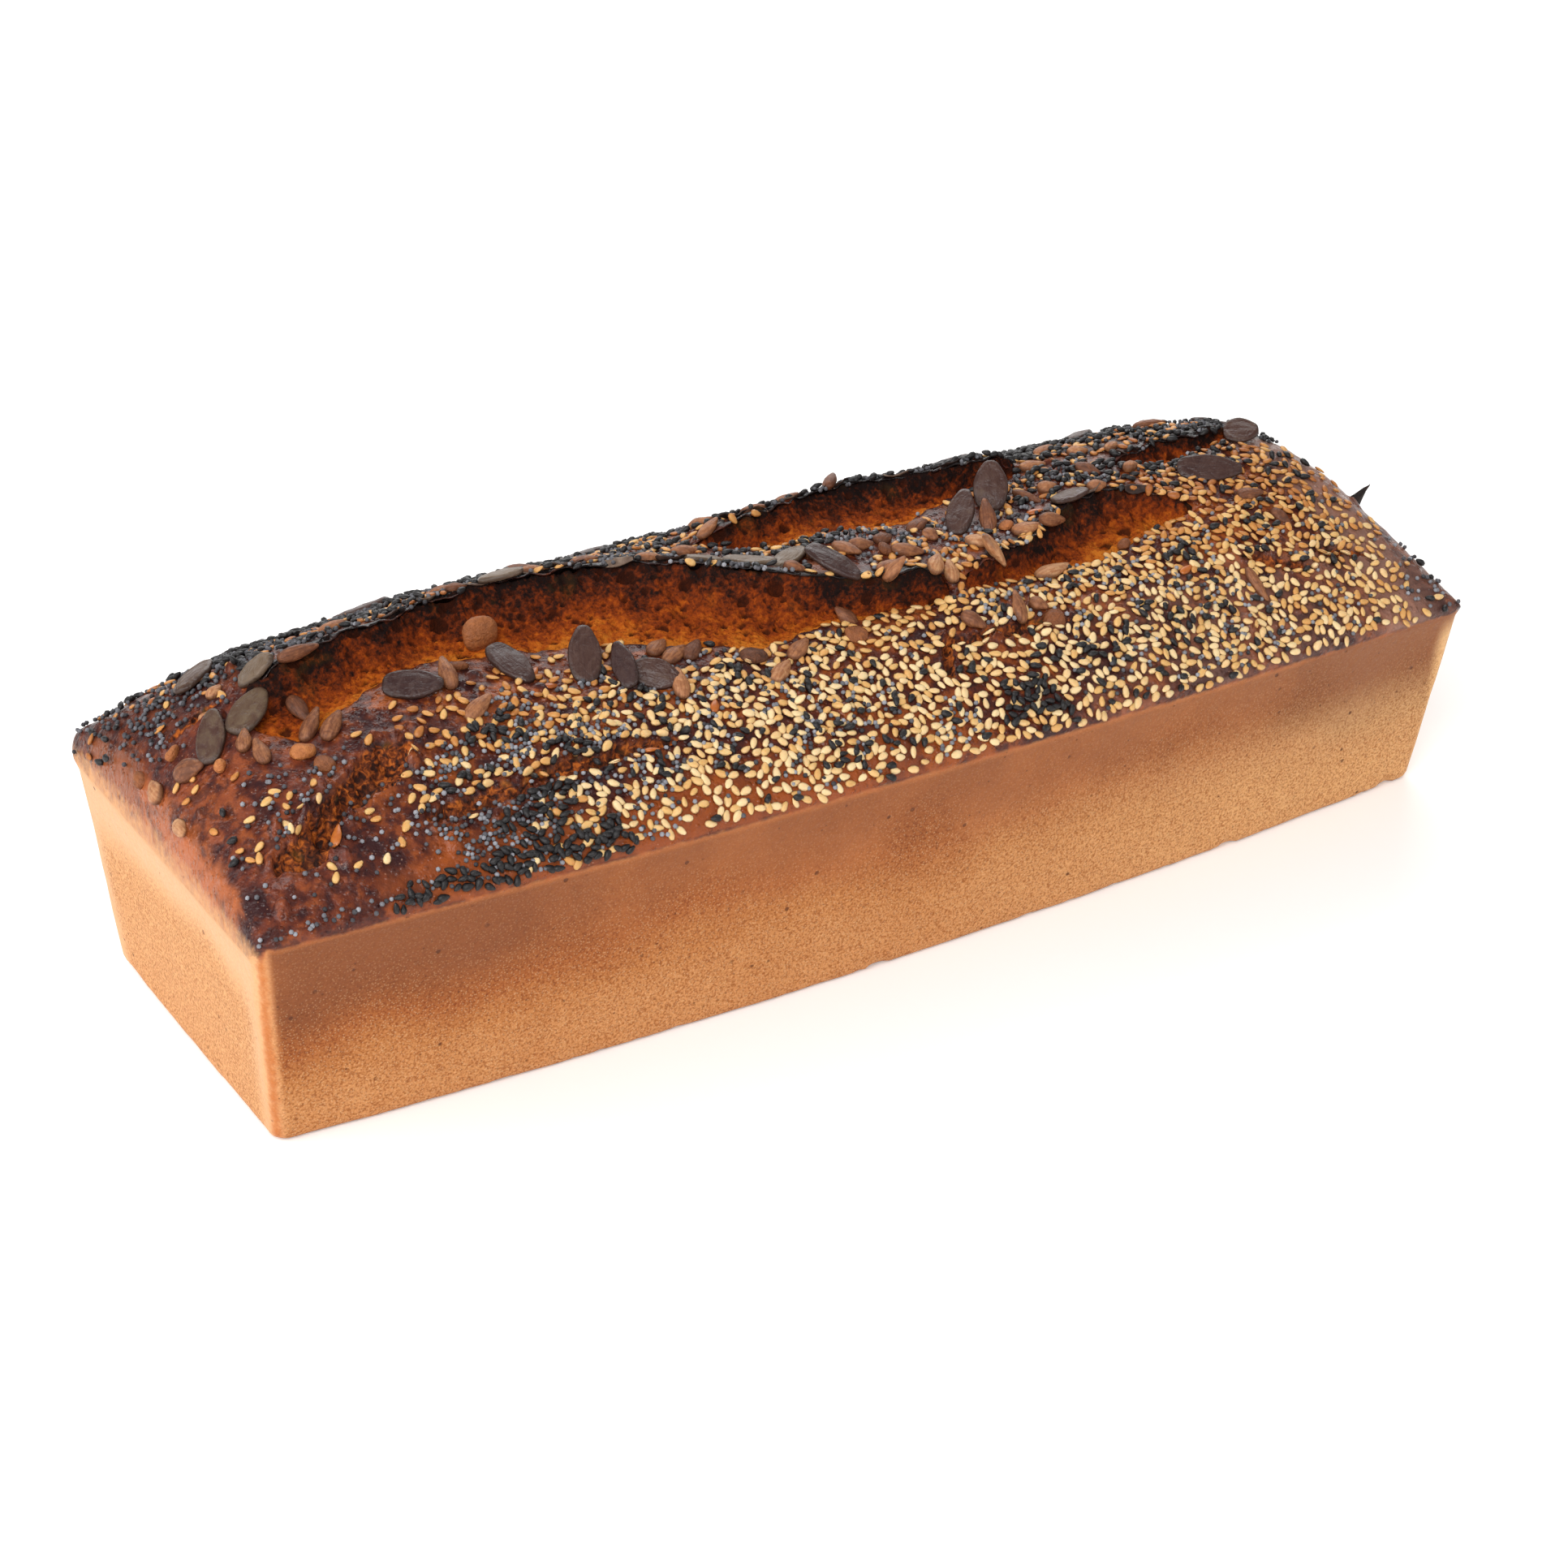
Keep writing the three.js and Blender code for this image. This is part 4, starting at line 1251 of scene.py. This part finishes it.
pumpkinSeed = {
    "long": 15.2, "wide": 8.2, "thick": 2.6, "sunk": 0.26, "dent": 0.35, "salt": 451,
    "skin": [
        (0.12, tone(52, 30, 28)), (0.42, tone(74, 49, 41)),
        (0.66, tone(98, 78, 58)), (0.92, tone(122, 104, 88)),
    ],
    "edge": tone(50, 34, 28),
    "places": [
        (-156, 1, 50, 10, 4, 1, 0.88, 0.5), (-147, 1, 32, 12, 4, 0.92, 1, 0.6),
        (-140.5, 9, -40, 6, 10, 0.8, 0.95, 0.8), (-111, -11, -32, 2, 22, 0.95, 1, 0.05),
        (-85.5, -11, -78, -12, 0, 1, 1, 0.15), (-68.5, -15, 68, 22, 0, 1.05, 1, 0.3),
        (-61.5, -21.5, 79, 10, -35, 0.95, 0.72, 0.05), (-55.5, -26, -40, 4, 26, 0.8, 0.95, 0.35),
        (-74, 15.5, -22, 0, -10, 0.75, 0.8, 0.95), (3, -12, -60, -15, 0, 1.05, 0.9, 0.1),
        (61, 5, 56, 40, 0, 0.92, 1.1, 0.35), (47.5, -1.5, 46, 24, 0, 1, 0.88, 0.3),
        (122, -6.5, -26, 4, 22, 1.15, 1, 0.2), (143, 7, -35, 4, 30, 0.62, 1.1, 0.35),
        (78.5, -5.5, 5, 0, -10, 0.75, 0.8, 0.45), (-25, 3, -10, 0, 0, 0.7, 0.7, 0.95),
        (-14.5, -1, -26, 0, 0, 0.9, 0.75, 0.85), (-4.5, -3.5, 25, 4, 0, 0.85, 0.75, 0.75),
        (-102, 36, -30, 2, 0, 1, 1, 0.3), (-38, 41, 15, 2, 0, 1, 1, 0.2), (22, 42, 25, 2, 0, 1, 1, 0.6),
        (68, 36, -12, 4, 0, 0.95, 1, 0.1), (112, 37, 48, 2, 0, 1, 0.9, 0.4), (150, 26, -35, 2, 0, 1, 1, 0.3),
        (-148, 30, 40, 3, 0, 1, 1, 0.5),
    ],
}
sunflowerSeed = {
    "long": 9.5, "wide": 4.7, "thick": 2.9, "sunk": 0.3, "dent": 0.3, "salt": 431,
    "skin": [
        (0.16, tone(70, 40, 28)), (0.42, tone(114, 68, 44)),
        (0.66, tone(164, 108, 70)), (0.92, tone(206, 158, 114)),
    ],
    "edge": tone(84, 48, 30),
    "places": [
        (-136, -2, -85, 0, 0, 0.85, 1, 0.2), (-136, -9, 38, 6, 0, 1.1, 1, 0.4),
        (-132.5, -13, 37, 6, 12, 0.95, 1, 0.4), (-151.5, -6.5, 55, 10, 0, 0.72, 0.9, 0.5),
        (-150, -12, 80, 6, 0, 0.85, 0.9, 0.5), (-102, -10.5, 80, 20, 0, 1.05, 1, 0.5),
        (-100, -22, 31, 6, 0, 1, 1, 0.6), (-132, 6.5, 10, 4, 0, 1.15, 0.8, 0.3),
        (-116, 22, 15, 0, 0, 0.9, 0.9, 0.6), (-87, 22, 8, 0, 0, 0.65, 0.9, 0.5),
        (-85, 18, -15, 0, 0, 0.6, 0.9, 0.3), (-64, 17, 15, 0, 0, 0.95, 0.9, 0.6),
        (-50, 18, 10, 0, 0, 0.9, 0.9, 0.4), (-149, 16, 20, 0, 0, 0.5, 0.8, 0.8),
        (-153, 12.5, 0, 0, 0, 0.4, 0.8, 0.9), (-169, 6, 60, 0, 0, 0.75, 1.15, 0.75),
        (-163, -1, -30, 0, 0, 0.95, 1.4, 0.3), (-170, -11, -95, 0, 0, 0.7, 0.9, 0.9),
        (-49, -16, 39, 0, 10, 0.95, 1, 0.45), (-46.5, -20, 28, 0, 0, 0.95, 1, 0.5),
        (-41.5, -20, 43, 0, 0, 0.9, 1, 0.15), (-17, -28.5, 34, 4, 0, 0.92, 1, 0.55),
        (-25, -33.5, 37, 0, 0, 0.98, 1, 0.75), (-51, -30, 78, 14, 0, 0.95, 1, 0.7),
        (1, -20.5, 122, 24, 0, 0.75, 1, 0.35), (3.5, -4.5, -41, 0, 0, 0.75, 1, 0.5),
        (10.5, -6, -70, 6, 0, 0.95, 1, 0.5), (16, -4, -20, 0, 0, 0.7, 1, 0.45),
        (23, -3.5, 26, 0, 0, 0.7, 1, 0.2), (24.5, -12, -26, 0, 12, 0.9, 1, 0.5),
        (16, -17.5, 6, 0, 0, 0.85, 1, 0.5), (16, -20.5, -6, 8, 0, 0.85, 1, 0.6),
        (-7, -9.8, -32, 0, 0, 0.6, 1, 0.4), (35.5, 0, 25, 0, 0, 0.85, 1, 0.3),
        (36, -5, -78, 0, 0, 0.5, 1, 0.5), (27.5, -19.5, 50, 16, 0, 0.9, 1, 0.85),
        (31.5, -20.5, 80, 14, 0, 0.75, 1, 0.85), (53, -5, 68, 25, 0, 1.1, 1, 0.35),
        (46, -13, -36, 0, 0, 0.9, 1.15, 0.9), (45, -19, -24, -16, 0, 1.05, 1.2, 0.85),
        (60.5, -24, 8, 0, 0, 1.2, 1.1, 0.85), (42, -34.5, 100, 12, 0, 1, 1, 0.5),
        (29.5, -34.5, -56, 0, 0, 0.75, 1, 0.35), (49, -34.5, -49, 0, 0, 0.55, 1, 0.5),
        (70, 1, -60, 0, 0, 1, 0.65, 0.3), (81, 15, -10, 0, 0, 0.8, 1, 0.65),
        (76.5, 2, -17, 0, 0, 0.55, 1, 0.65), (60.5, -12, -7, 0, 0, 0.85, 1.15, 0.7),
        (68, -12, -19, 0, 0, 1, 0.85, 0.5), (127, -18, -6, 0, 0, 0.85, 1, 0.3),
        (131, -26.5, -73, 0, 0, 0.75, 0.85, 0.25), (111, -43, -83, 0, 0, 1.15, 0.75, 0.5),
        (104, 3, 40, 0, 0, 0.9, 1, 0.7), (92, 6, -63, 0, 0, 0.8, 1, 0.25),
        (87.5, -4.5, -17, 0, 0, 0.55, 1, 0.6), (99, 20, -5, 0, 0, 0.65, 1, 0.75),
        (107.5, 16.5, 35, 0, 0, 0.7, 0.75, 0.75), (2, 23, 10, 0, 0, 1, 1, 0.4),
        (27, 27, 50, 24, 0, 1, 0.9, 0.25), (-14, 19, 20, 0, 0, 0.9, 1, 0.6),
        (-24, 14, -20, 0, 0, 0.8, 1, 0.5), (12, 25, 0, 0, 0, 0.9, 1, 0.5),
        (-37, 9, -10, 0, 0, 0.8, 0.9, 0.6), (-90, 44, 10, 0, 0, 1, 1, 0.5), (-60, 33, -40, 0, 0, 1, 1, 0.3),
        (-10, 30, -68, 0, 0, 0.9, 1, 0.6), (40, 33, 30, 0, 0, 1, 1, 0.4), (93, 27, 23, 0, 0, 0.9, 1, 0.6),
        (130, 30, -15, 0, 0, 1, 1, 0.4),
    ],
}
brokenKernel = {
    "long": 6.4, "wide": 5.4, "thick": 3.4, "sunk": 0.28, "dent": 1.0, "salt": 441,
    "skin": [
        (0.1, tone(76, 46, 34)), (0.4, tone(130, 76, 44)),
        (0.7, tone(178, 108, 60)), (0.95, tone(208, 136, 76)),
    ],
    "places": [
        (-139, -22, -28, 0, 0, 0.8, 0.85, 0.45), (-142, -16.7, 10, 0, 0, 1, 0.85, 0.9),
        (-158.5, -8.5, 30, 0, 0, 0.5, 0.6, 0.9), (-86, 4, 0, 0, 78, 1.4, 1.65, 0.6),
        (-97, -7, 0, 0, 0, 0.7, 0.5, 0.4), (-169.5, 15, 60, 0, 0, 0.7, 0.7, 0.5),
        (-29, -27, -17, 0, 0, 1.1, 1.1, 0.1), (-0.5, -28, -18, 0, 0, 0.9, 1.05, 0.5),
        (51, -38.5, -15, 0, 0, 0.9, 1.1, 0.4), (-163, 9, 20, 0, 0, 0.7, 0.5, 0.7),
        (57, -8, 40, 0, 0, 0.8, 0.7, 0.8), (20, -9, 70, 0, 0, 0.7, 0.7, 0.3),
        (84, -22, 30, 0, 0, 0.6, 0.6, 0.4),
    ],
}
flaxSeed = {
    "long": 4.5, "wide": 2.4, "thick": 1.1, "sunk": 0.15, "dent": 0.1, "salt": 461,
    "skin": [(0.1, tone(126, 62, 26)), (0.5, tone(172, 92, 38)), (0.9, tone(206, 124, 54))],
    "places": [
        (-145, -41.5, 31, 0, 20, 1.45, 1.35, 0.6), (-66.6, -44, -30, 0, 0, 1, 1, 0.6),
        (-81.5, -14.5, 40, 0, 0, 1, 1, 0.5), (-80, -20.5, 10, 0, 0, 1, 1, 0.4),
        (-45.7, -37.5, 60, 0, 0, 1, 1, 0.5), (94.6, -34.6, 20, 0, 0, 1, 1, 0.6),
        (67, -6.4, -20, 0, 0, 1, 1, 0.5), (106.7, -5.7, 50, 0, 0, 1, 1, 0.5), (-20, 33, 15, 0, 0, 1, 1, 0.5),
        (60, 44, 70, 0, 0, 1, 1, 0.4), (-120, 40, -20, 0, 0, 1, 1, 0.5),
    ],
}
sesameSeed = {
    "long": 3.15, "wide": 2.1, "thick": 0.9, "sunk": 0.08, "tilt": 11, "heap": 0.25,
    "spacing": 1.5, "jitter": 0.8, "apart": 0.72, "margin": 0.05, "claims": 0.9, "salt": 301,
    "skin": [
        (0.0, tone(238, 208, 158)), (0.35, tone(222, 176, 110)),
        (0.65, tone(200, 136, 70)), (1.0, tone(148, 82, 40)),
    ],
    "edge": tone(120, 66, 28),
    "clumps": (8, 201, 0.14, 0.4, 0.7, 1.15),
    "patches": [
        (-157, -28, 9, 10, 0.06), (-136, -34, 16, 16, 0.028), (-106, -30, 16, 15, 0.13),
        (-78, -40, 20, 24, 0.3), (-48, -46, 18, 22, 0.36), (-8, -44, 36, 24, 0.44), (52, -42, 38, 26, 0.52),
        (98, -38, 32, 30, 0.52), (131, -38, 22, 28, 0.5), (154, -22, 7, 13, 0.14), (-162, 10, 7, 20, 0.01),
        (-110, 28, 45, 12, 0.07), (-40, 26, 30, 12, 0.14), (-5, 0, 25, 10, 0.08), (30, -8, 22, 12, 0.12),
        (70, 0, 25, 12, 0.12), (112, -8, 16, 10, 0.38), (135, -9, 16, 15, 0.34), (104, 22, 30, 10, 0.12),
        (0, 44, 150, 14, 0.07),
    ],
}
poppySeed = {
    "long": 1.3, "wide": 1.25, "thick": 1.2, "sunk": 0.12, "tilt": 30, "heap": 0.3,
    "spacing": 1.2, "jitter": 0.7, "margin": 0.35, "salt": 341,
    "skin": [(0.0, tone(50, 47, 50)), (0.45, tone(98, 97, 102)), (1.0, tone(156, 156, 162))],
    "clumps": (7, 221, 0.3, 0.6, 0.35, 1.25),
    "rimLine": (-170, -60, 1, 1.6, 0.3),
    "patches": [
        (-160, -42, 14, 14, 0.03), (-165, -55, 7, 2.5, 0.2), (-145, -35, 16, 16, 0.12),
        (-92, -35, 30, 7, 0.5), (-108, -48, 20, 9, 0.46), (-80, -48, 22, 8, 0.42), (-76, -27, 26, 8, 0.3),
        (-30, -42, 34, 20, 0.26), (10, -54, 8, 6, 0.36), (41, -30, 16, 7, 0.32), (85, -42, 34, 20, 0.2),
        (128, -42, 18, 18, 0.12), (-162, 28, 7, 18, 0.2), (-134, 30, 26, 18, 0.3), (-90, 28, 40, 14, 0.34),
        (-40, 20, 24, 12, 0.36), (0, -1, 28, 12, 0.32), (40, -6, 24, 11, 0.28), (76, 2, 20, 14, 0.3),
        (116, 0, 14, 10, 0.14), (0, 43, 165, 14, 0.24), (60, 30, 62, 10, 0.26), (161, -44, 8, 13, 0.14),
        (138, 14, 18, 10, 0.28), (140, 26, 20, 16, 0.16),
    ],
}
blackSeed = {
    "long": 2.9, "wide": 1.9, "thick": 1.6, "sunk": 0.12, "tilt": 26, "heap": 0.6,
    "spacing": 1.6, "jitter": 0.7, "apart": 0.56, "margin": 0.05, "claims": 0.8, "salt": 381,
    "skin": [(0.3, tone(13, 12, 14)), (0.7, tone(42, 38, 38))],
    "clumps": (6, 241, 0.36, 0.62, 0.25, 1.3),
    "rimLine": (-140, -76, 0.6, 1.8, 1.3),
    "patches": [
        (-112, -46, 6, 4, 0.2), (-104, -57, 18, 3, 1.1), (-100, -28, 6, 5, 0.26), (-110, -38, 6, 4, 0.24),
        (-97, -49, 9, 5, 0.34), (-85, -40, 6, 5, 0.24), (24, -45, 5, 3, 0.26), (34, -54, 11, 4, 0.3),
        (-60, -33, 12, 6, 0.09), (-15, -53, 16, 5, 0.1), (60, -30, 14, 7, 0.09), (85, -48, 18, 7, 0.06),
        (110, -32, 18, 9, 0.06), (-30, -42, 40, 22, 0.03), (60, -42, 60, 22, 0.028),
        (-130, 32, 24, 16, 0.13), (-95, 28, 40, 14, 0.14), (-40, 22, 24, 12, 0.1), (0, 0, 30, 11, 0.11),
        (60, 30, 62, 10, 0.22), (80, 4, 26, 12, 0.14), (118, 4, 20, 12, 0.09), (0, 44, 165, 15, 0.08),
        (-160, -30, 8, 14, 0.012), (138, -4, 20, 22, 0.04), (134, -38, 17, 19, 0.015),
        (163, -48, 5, 8, 0.05), (138, 15, 20, 10, 0.14),
    ],
}


def pumpkinFinish():
    f = Finish("pumpkinSkin", 0.45, 0.38)
    streak = streaks(f, 7)
    blotch = f.noise(2.4, 4, 0.8)
    tint = f.swayed(f.plus(f.times(f.value("tint"), 0.76), f.times(streak, 0.26)), blotch, 0.5)
    f.colour(edged(f, pumpkinSeed, tint, 0.55, 0.6))
    f.gloss(f.spread(blotch, 0.3, 0.7, 0.28, 0.52))
    f.bumps((streak, 0.3), (blotch, 0.34), (f.noise(0.6, 3), 0.08))
    return f.material


def pumpkinShape():
    # a flat oval one unit long and wide, drawn to a point at +X, with a raised border round each face
    shape, faces = seedShape(36, 17, point=0, blunt=0.62, square=0.9)
    x, y, z = shape.T
    narrow = 1 - 0.32 * smooth((x + 0.05) / 0.55) ** 1.5
    radius = np.minimum(1, np.hypot(2 * x, 2 * y))
    border = 0.16 * np.exp(-(((radius - 0.86) / 0.06) ** 2)) - 0.12 * np.exp(-(((radius - 0.72) / 0.07) ** 2))
    z = np.sign(z) * (np.abs(z) ** 0.7 * 0.5**0.3) * (0.82 + border)
    return np.stack([x, y * narrow, z], 1), faces


def sunflowerFinish():
    f = Finish("sunflowerKernel", 0.5, 0.3)
    streak = streaks(f, 9)
    blotch = f.noise(1.3, 3, 0.5)
    tint = f.swayed(f.plus(f.times(f.value("tint"), 0.6), f.times(streak, 0.45)), blotch, 0.5)
    f.colour(edged(f, sunflowerSeed, tint, 0.6, 0.65))
    f.bumps((streak, 0.3), (blotch, 0.2), (f.noise(0.5, 3), 0.08))
    return f.material


def brokenFinish():
    f = Finish("brokenKernel", 0.55, 0.3)
    blotch = f.noise(1.5, 4, 0.8)
    tint = f.plus(f.times(f.value("tint"), 0.7), f.times(f.maths("SUBTRACT", blotch, 0.3), 0.5))
    f.colour(f.ramp(tint, brokenKernel["skin"]))
    f.bumps((blotch, 0.8), (f.noise(0.6, 3), 0.16))
    return f.material


def flaxFinish():
    f = Finish("flaxSkin", 0.28, 0.45)
    f.colour(f.ramp(f.swayed("tint", f.noise(1.2, 2), 0.5), flaxSeed["skin"]))
    f.bumps((f.noise(0.4, 2), 0.04))
    return f.material


def sesameFinish():
    f = Finish("sesameSkin", 0.42, 0.3)
    f.colour(edged(f, sesameSeed, f.swayed("tint", f.noise(1.1, 2), 0.34), 0.55, 0.76))
    f.shader.inputs["Subsurface Weight"].default_value = 0.12
    f.shader.inputs["Subsurface Scale"].default_value = 0.0008
    f.bumps((f.noise(0.4, 2), 0.05))
    return f.material


def whiteSesame():
    # paler at the front rim, more toasted up the slope, to the right and at the left end
    x, y, turn = scatter(sesameSeed)
    claim(x, y, sesameSeed["claims"])
    toasted = 0.1 + 0.42 * smooth((y + 46) / 36)
    toasted = toasted + 0.12 * smooth((x - 50) / 80) + 0.14 * smooth((-60 - x) / 40)
    tint = np.clip(toasted + drawn(len(x), sesameSeed["salt"] + 10, -0.22, 0.34), 0, 1)
    shape = seedShape(6, 4, point=0.4, blunt=0.75)
    return smallSeeds("whiteSesame", sesameFinish(), shape, sesameSeed, x, y, turn, tint)


def ballShape():
    # a ball of twenty triangles, one unit across
    g = (1 + math.sqrt(5)) / 2  # the golden ratio
    points = np.array([
        (-1, g, 0), (1, g, 0), (-1, -g, 0), (1, -g, 0), (0, -1, g), (0, 1, g),
        (0, -1, -g), (0, 1, -g), (g, 0, -1), (g, 0, 1), (-g, 0, -1), (-g, 0, 1),
    ]) / (2 * math.hypot(1, g))
    faces = np.array([
        (0, 11, 5), (0, 5, 1), (0, 1, 7), (0, 7, 10), (0, 10, 11), (1, 5, 9), (5, 11, 4), (11, 10, 2),
        (10, 7, 6), (7, 1, 8), (3, 9, 4), (3, 4, 2), (3, 2, 6), (3, 6, 8), (3, 8, 9), (4, 9, 5),
        (2, 4, 11), (6, 2, 10), (8, 6, 7), (9, 8, 1),
    ])
    return points, faces


def poppyFinish():
    f = Finish("poppySkin", 0.6, 0.3)
    f.colour(f.ramp(f.value("tint"), poppySeed["skin"]))
    f.bumps((f.noise(0.25, 2), 0.06))
    return f.material


def poppy():
    # darker towards the back
    x, y, turn = scatter(poppySeed)
    tint = drawn(len(x), poppySeed["salt"] + 10) * (1 - 0.45 * smooth((y - 4) / 20))
    return smallSeeds("poppy", poppyFinish(), ballShape(), poppySeed, x, y, turn, tint)


def blackFinish():
    f = Finish("blackSeedSkin", 0.45, 0.4)
    f.colour(f.ramp(f.noise(0.7, 3), blackSeed["skin"]))
    f.bumps((f.noise(0.35, 2), 0.12))
    return f.material


def blackSeeds():
    x, y, turn = scatter(blackSeed)
    claim(x, y, blackSeed["claims"])
    shape = seedShape(6, 4, point=0.45, blunt=0.75)
    return smallSeeds("blackSeed", blackFinish(), shape, blackSeed, x, y, turn, 0 * x)


# Thin flakes of crust torn up along the back lips, and the burnt horn at the right end.

crustFlake = {
    "thick": 0.7,
    # x, y, turn, pitch, roll, length, width, shade from 0, burnt, to 1, grey tan
    "places": [
        (-104, 13.5, 20, 0, -15, 9, 3.4, 0.3), (-92, 17, 12, 4, -20, 8, 3, 0.7),
        (-79, 17.5, -4, 0, -18, 10, 3.4, 0.55), (-66, 16, -10, 6, -12, 7, 3, 0.8),
        (-57, 14, -16, 0, -20, 9, 3.2, 0.4), (-45, 10, -22, 4, -15, 8, 3, 0.7),
        (-33, 5, -25, 0, -20, 8, 3, 0.3), (-6, 20, 4, 0, -18, 9, 3.2, 0.2), (12, 23, 12, 4, -15, 8, 3, 0.6),
        (27, 26, 2, 0, -20, 9, 3.4, 0.3), (44, 22.5, -18, 5, -15, 8, 3, 0.7),
        (58, 19, -10, 0, -18, 7, 3, 0.2), (70, -9, 30, 0, -15, 7, 3, 0.4), (84, -5.5, -5, 4, -18, 8, 3, 0.6),
        (97, -9, -22, 0, -15, 7, 3, 0.3), (108, 11.5, 10, 0, -10, 6, 2.6, 0.3),
        (124, 13, 0, 4, -10, 7, 2.8, 0.5),
    ],
    "skin": [
        (0.05, tone(26, 18, 17)), (0.4, tone(66, 46, 38)),
        (0.75, tone(112, 92, 78)), (1.0, tone(146, 126, 108)),
    ],
    "hornFoot": (164, -10.2, 62.5),
    "hornTip": (172.3, -11.5, 71),
    "hornWidth": 6,
}


def flakeFinish():
    f = Finish("crustFlake", 0.6, 0.25)
    blotch = f.noise(2.2, 4, 0.8)
    f.colour(f.ramp(f.swayed("tint", blotch, 0.9), crustFlake["skin"]))
    f.bumps((blotch, 0.3), (f.noise(0.6, 3), 0.1))
    return f.material


def hornPoints():
    # a pointed seed shape stretched from the horn's foot to past its tip
    foot, tip = np.array(crustFlake["hornFoot"]), np.array(crustFlake["hornTip"])
    reach = np.linalg.norm(tip - foot)
    heading = ((tip - foot) / reach)[None]
    side = crossed(heading, np.array([[0.3, 1.0, 0.2]]))
    axes = np.stack([heading, side, crossed(heading, side)], 1)
    sizes = np.array([[reach * 1.3, crustFlake["hornWidth"], crustFlake["hornWidth"] * 0.6]])
    points, faces = copies(seedShape(10, 7, point=0.85, blunt=0.5), sizes, ((foot + tip) / 2)[None], axes)
    return points + 0.25 * roughNoise(*points.T, 1.6, 475, 2)[:, None], faces


def crustFlakes():
    # curled up at both ends, and rough
    shape = seedShape(10, 7, point=0.4, blunt=0.6)
    x, y, turn, pitch, roll, long, wide, shade = np.array(crustFlake["places"], float).T
    sizes = np.stack([long, wide, 0 * x + crustFlake["thick"]], 1)
    place, axes = layOnCrust(x, y, turn, pitch, roll, 0 * x + 0.3)
    points, faces = copies(shape, sizes, place, axes)
    curl = (np.tile(shape[0][:, 0], len(x)) ** 2 * 4 - 0.3) * 0.9 + 0.7 * roughNoise(*points.T, 3, 471, 3)
    points = points + curl[:, None] * np.repeat(axes[:, 2], len(shape[0]), 0)
    horn, hornFaces = hornPoints()
    tint = np.concatenate([perPoint(shade, shape), np.full(len(horn), 0.08)])
    faces = np.concatenate([faces, hornFaces + len(points)])
    return meshFrom("crustFlake", np.concatenate([points, horn]), faces, flakeFinish(), {"tint": tint})


largeSeeds("pumpkinSeed", pumpkinFinish(), pumpkinShape(), pumpkinSeed)
kernelShape = seedShape(12, 9, point=0.46, blunt=0.72, ridge=0.14)
largeSeeds("sunflowerSeed", sunflowerFinish(), kernelShape, sunflowerSeed)
largeSeeds("brokenKernel", brokenFinish(), seedShape(12, 9, point=0, blunt=0.7), brokenKernel)
largeSeeds("flaxSeed", flaxFinish(), seedShape(10, 7, point=0.5, blunt=0.75), flaxSeed)
crustFlakes()
blackSeeds()
whiteSesame()
poppy()


# The studio: a pale floor that the light washes out, a bright surround and two soft boxes.

studio = {
    "floorReach": 6,
    "surround": 0.32,
    "floorGlow": 0.2,
    "lights": [
        {"name": "key", "place": (-0.9, -1.1, 1.35), "size": 1.0, "power": 24},
        {"name": "back", "place": (0.75, 1.5, 1.1), "size": 1.7, "power": 24},
        {"name": "left", "place": (-1.5, 0.15, 0.8), "size": 1.1, "power": 13},
        {"name": "front", "place": (0.6, -0.85, 0.4), "size": 0.6, "power": 1.3},
    ],
}


def floorFinish():
    f = Finish("paleFloor", 0.9, 0.1)
    f.colour(f.ramp(f.noise(300, 2), [(0.3, tone(246, 244, 242)), (0.7, tone(250, 249, 248))]))
    f.shader.inputs["Emission Color"].default_value = (1, 1, 1, 1)
    f.shader.inputs["Emission Strength"].default_value = studio["floorGlow"]
    return f.material


def buildStudio():
    mesh = bpy.data.meshes.new("floor")
    reach = studio["floorReach"]
    corners = [(-reach, -reach, 0), (reach, -reach, 0), (reach, reach, 0), (-reach, reach, 0)]
    mesh.from_pydata(corners, [], [(0, 1, 2, 3)])
    mesh.materials.append(floorFinish())
    floor = bpy.data.objects.new("floor", mesh)
    link(floor)
    world = bpy.data.worlds.new("surround")
    world.use_nodes = True
    world.node_tree.nodes["Background"].inputs["Color"].default_value = (1, 1, 1, 1)
    world.node_tree.nodes["Background"].inputs["Strength"].default_value = studio["surround"]
    bpy.context.scene.world = world
    for row in studio["lights"]:
        light = bpy.data.lights.new(row["name"], "AREA")
        light.shape = "SQUARE"
        light.size = row["size"]
        light.energy = row["power"]
        lamp = bpy.data.objects.new(row["name"], light)
        lamp.location = row["place"]
        away = lamp.location.normalized()
        lamp.rotation_euler = away.to_track_quat("Z", "Y").to_euler()
        link(lamp)
    bpy.context.scene.view_settings.view_transform = "Standard"


buildStudio()
print("studio lit")
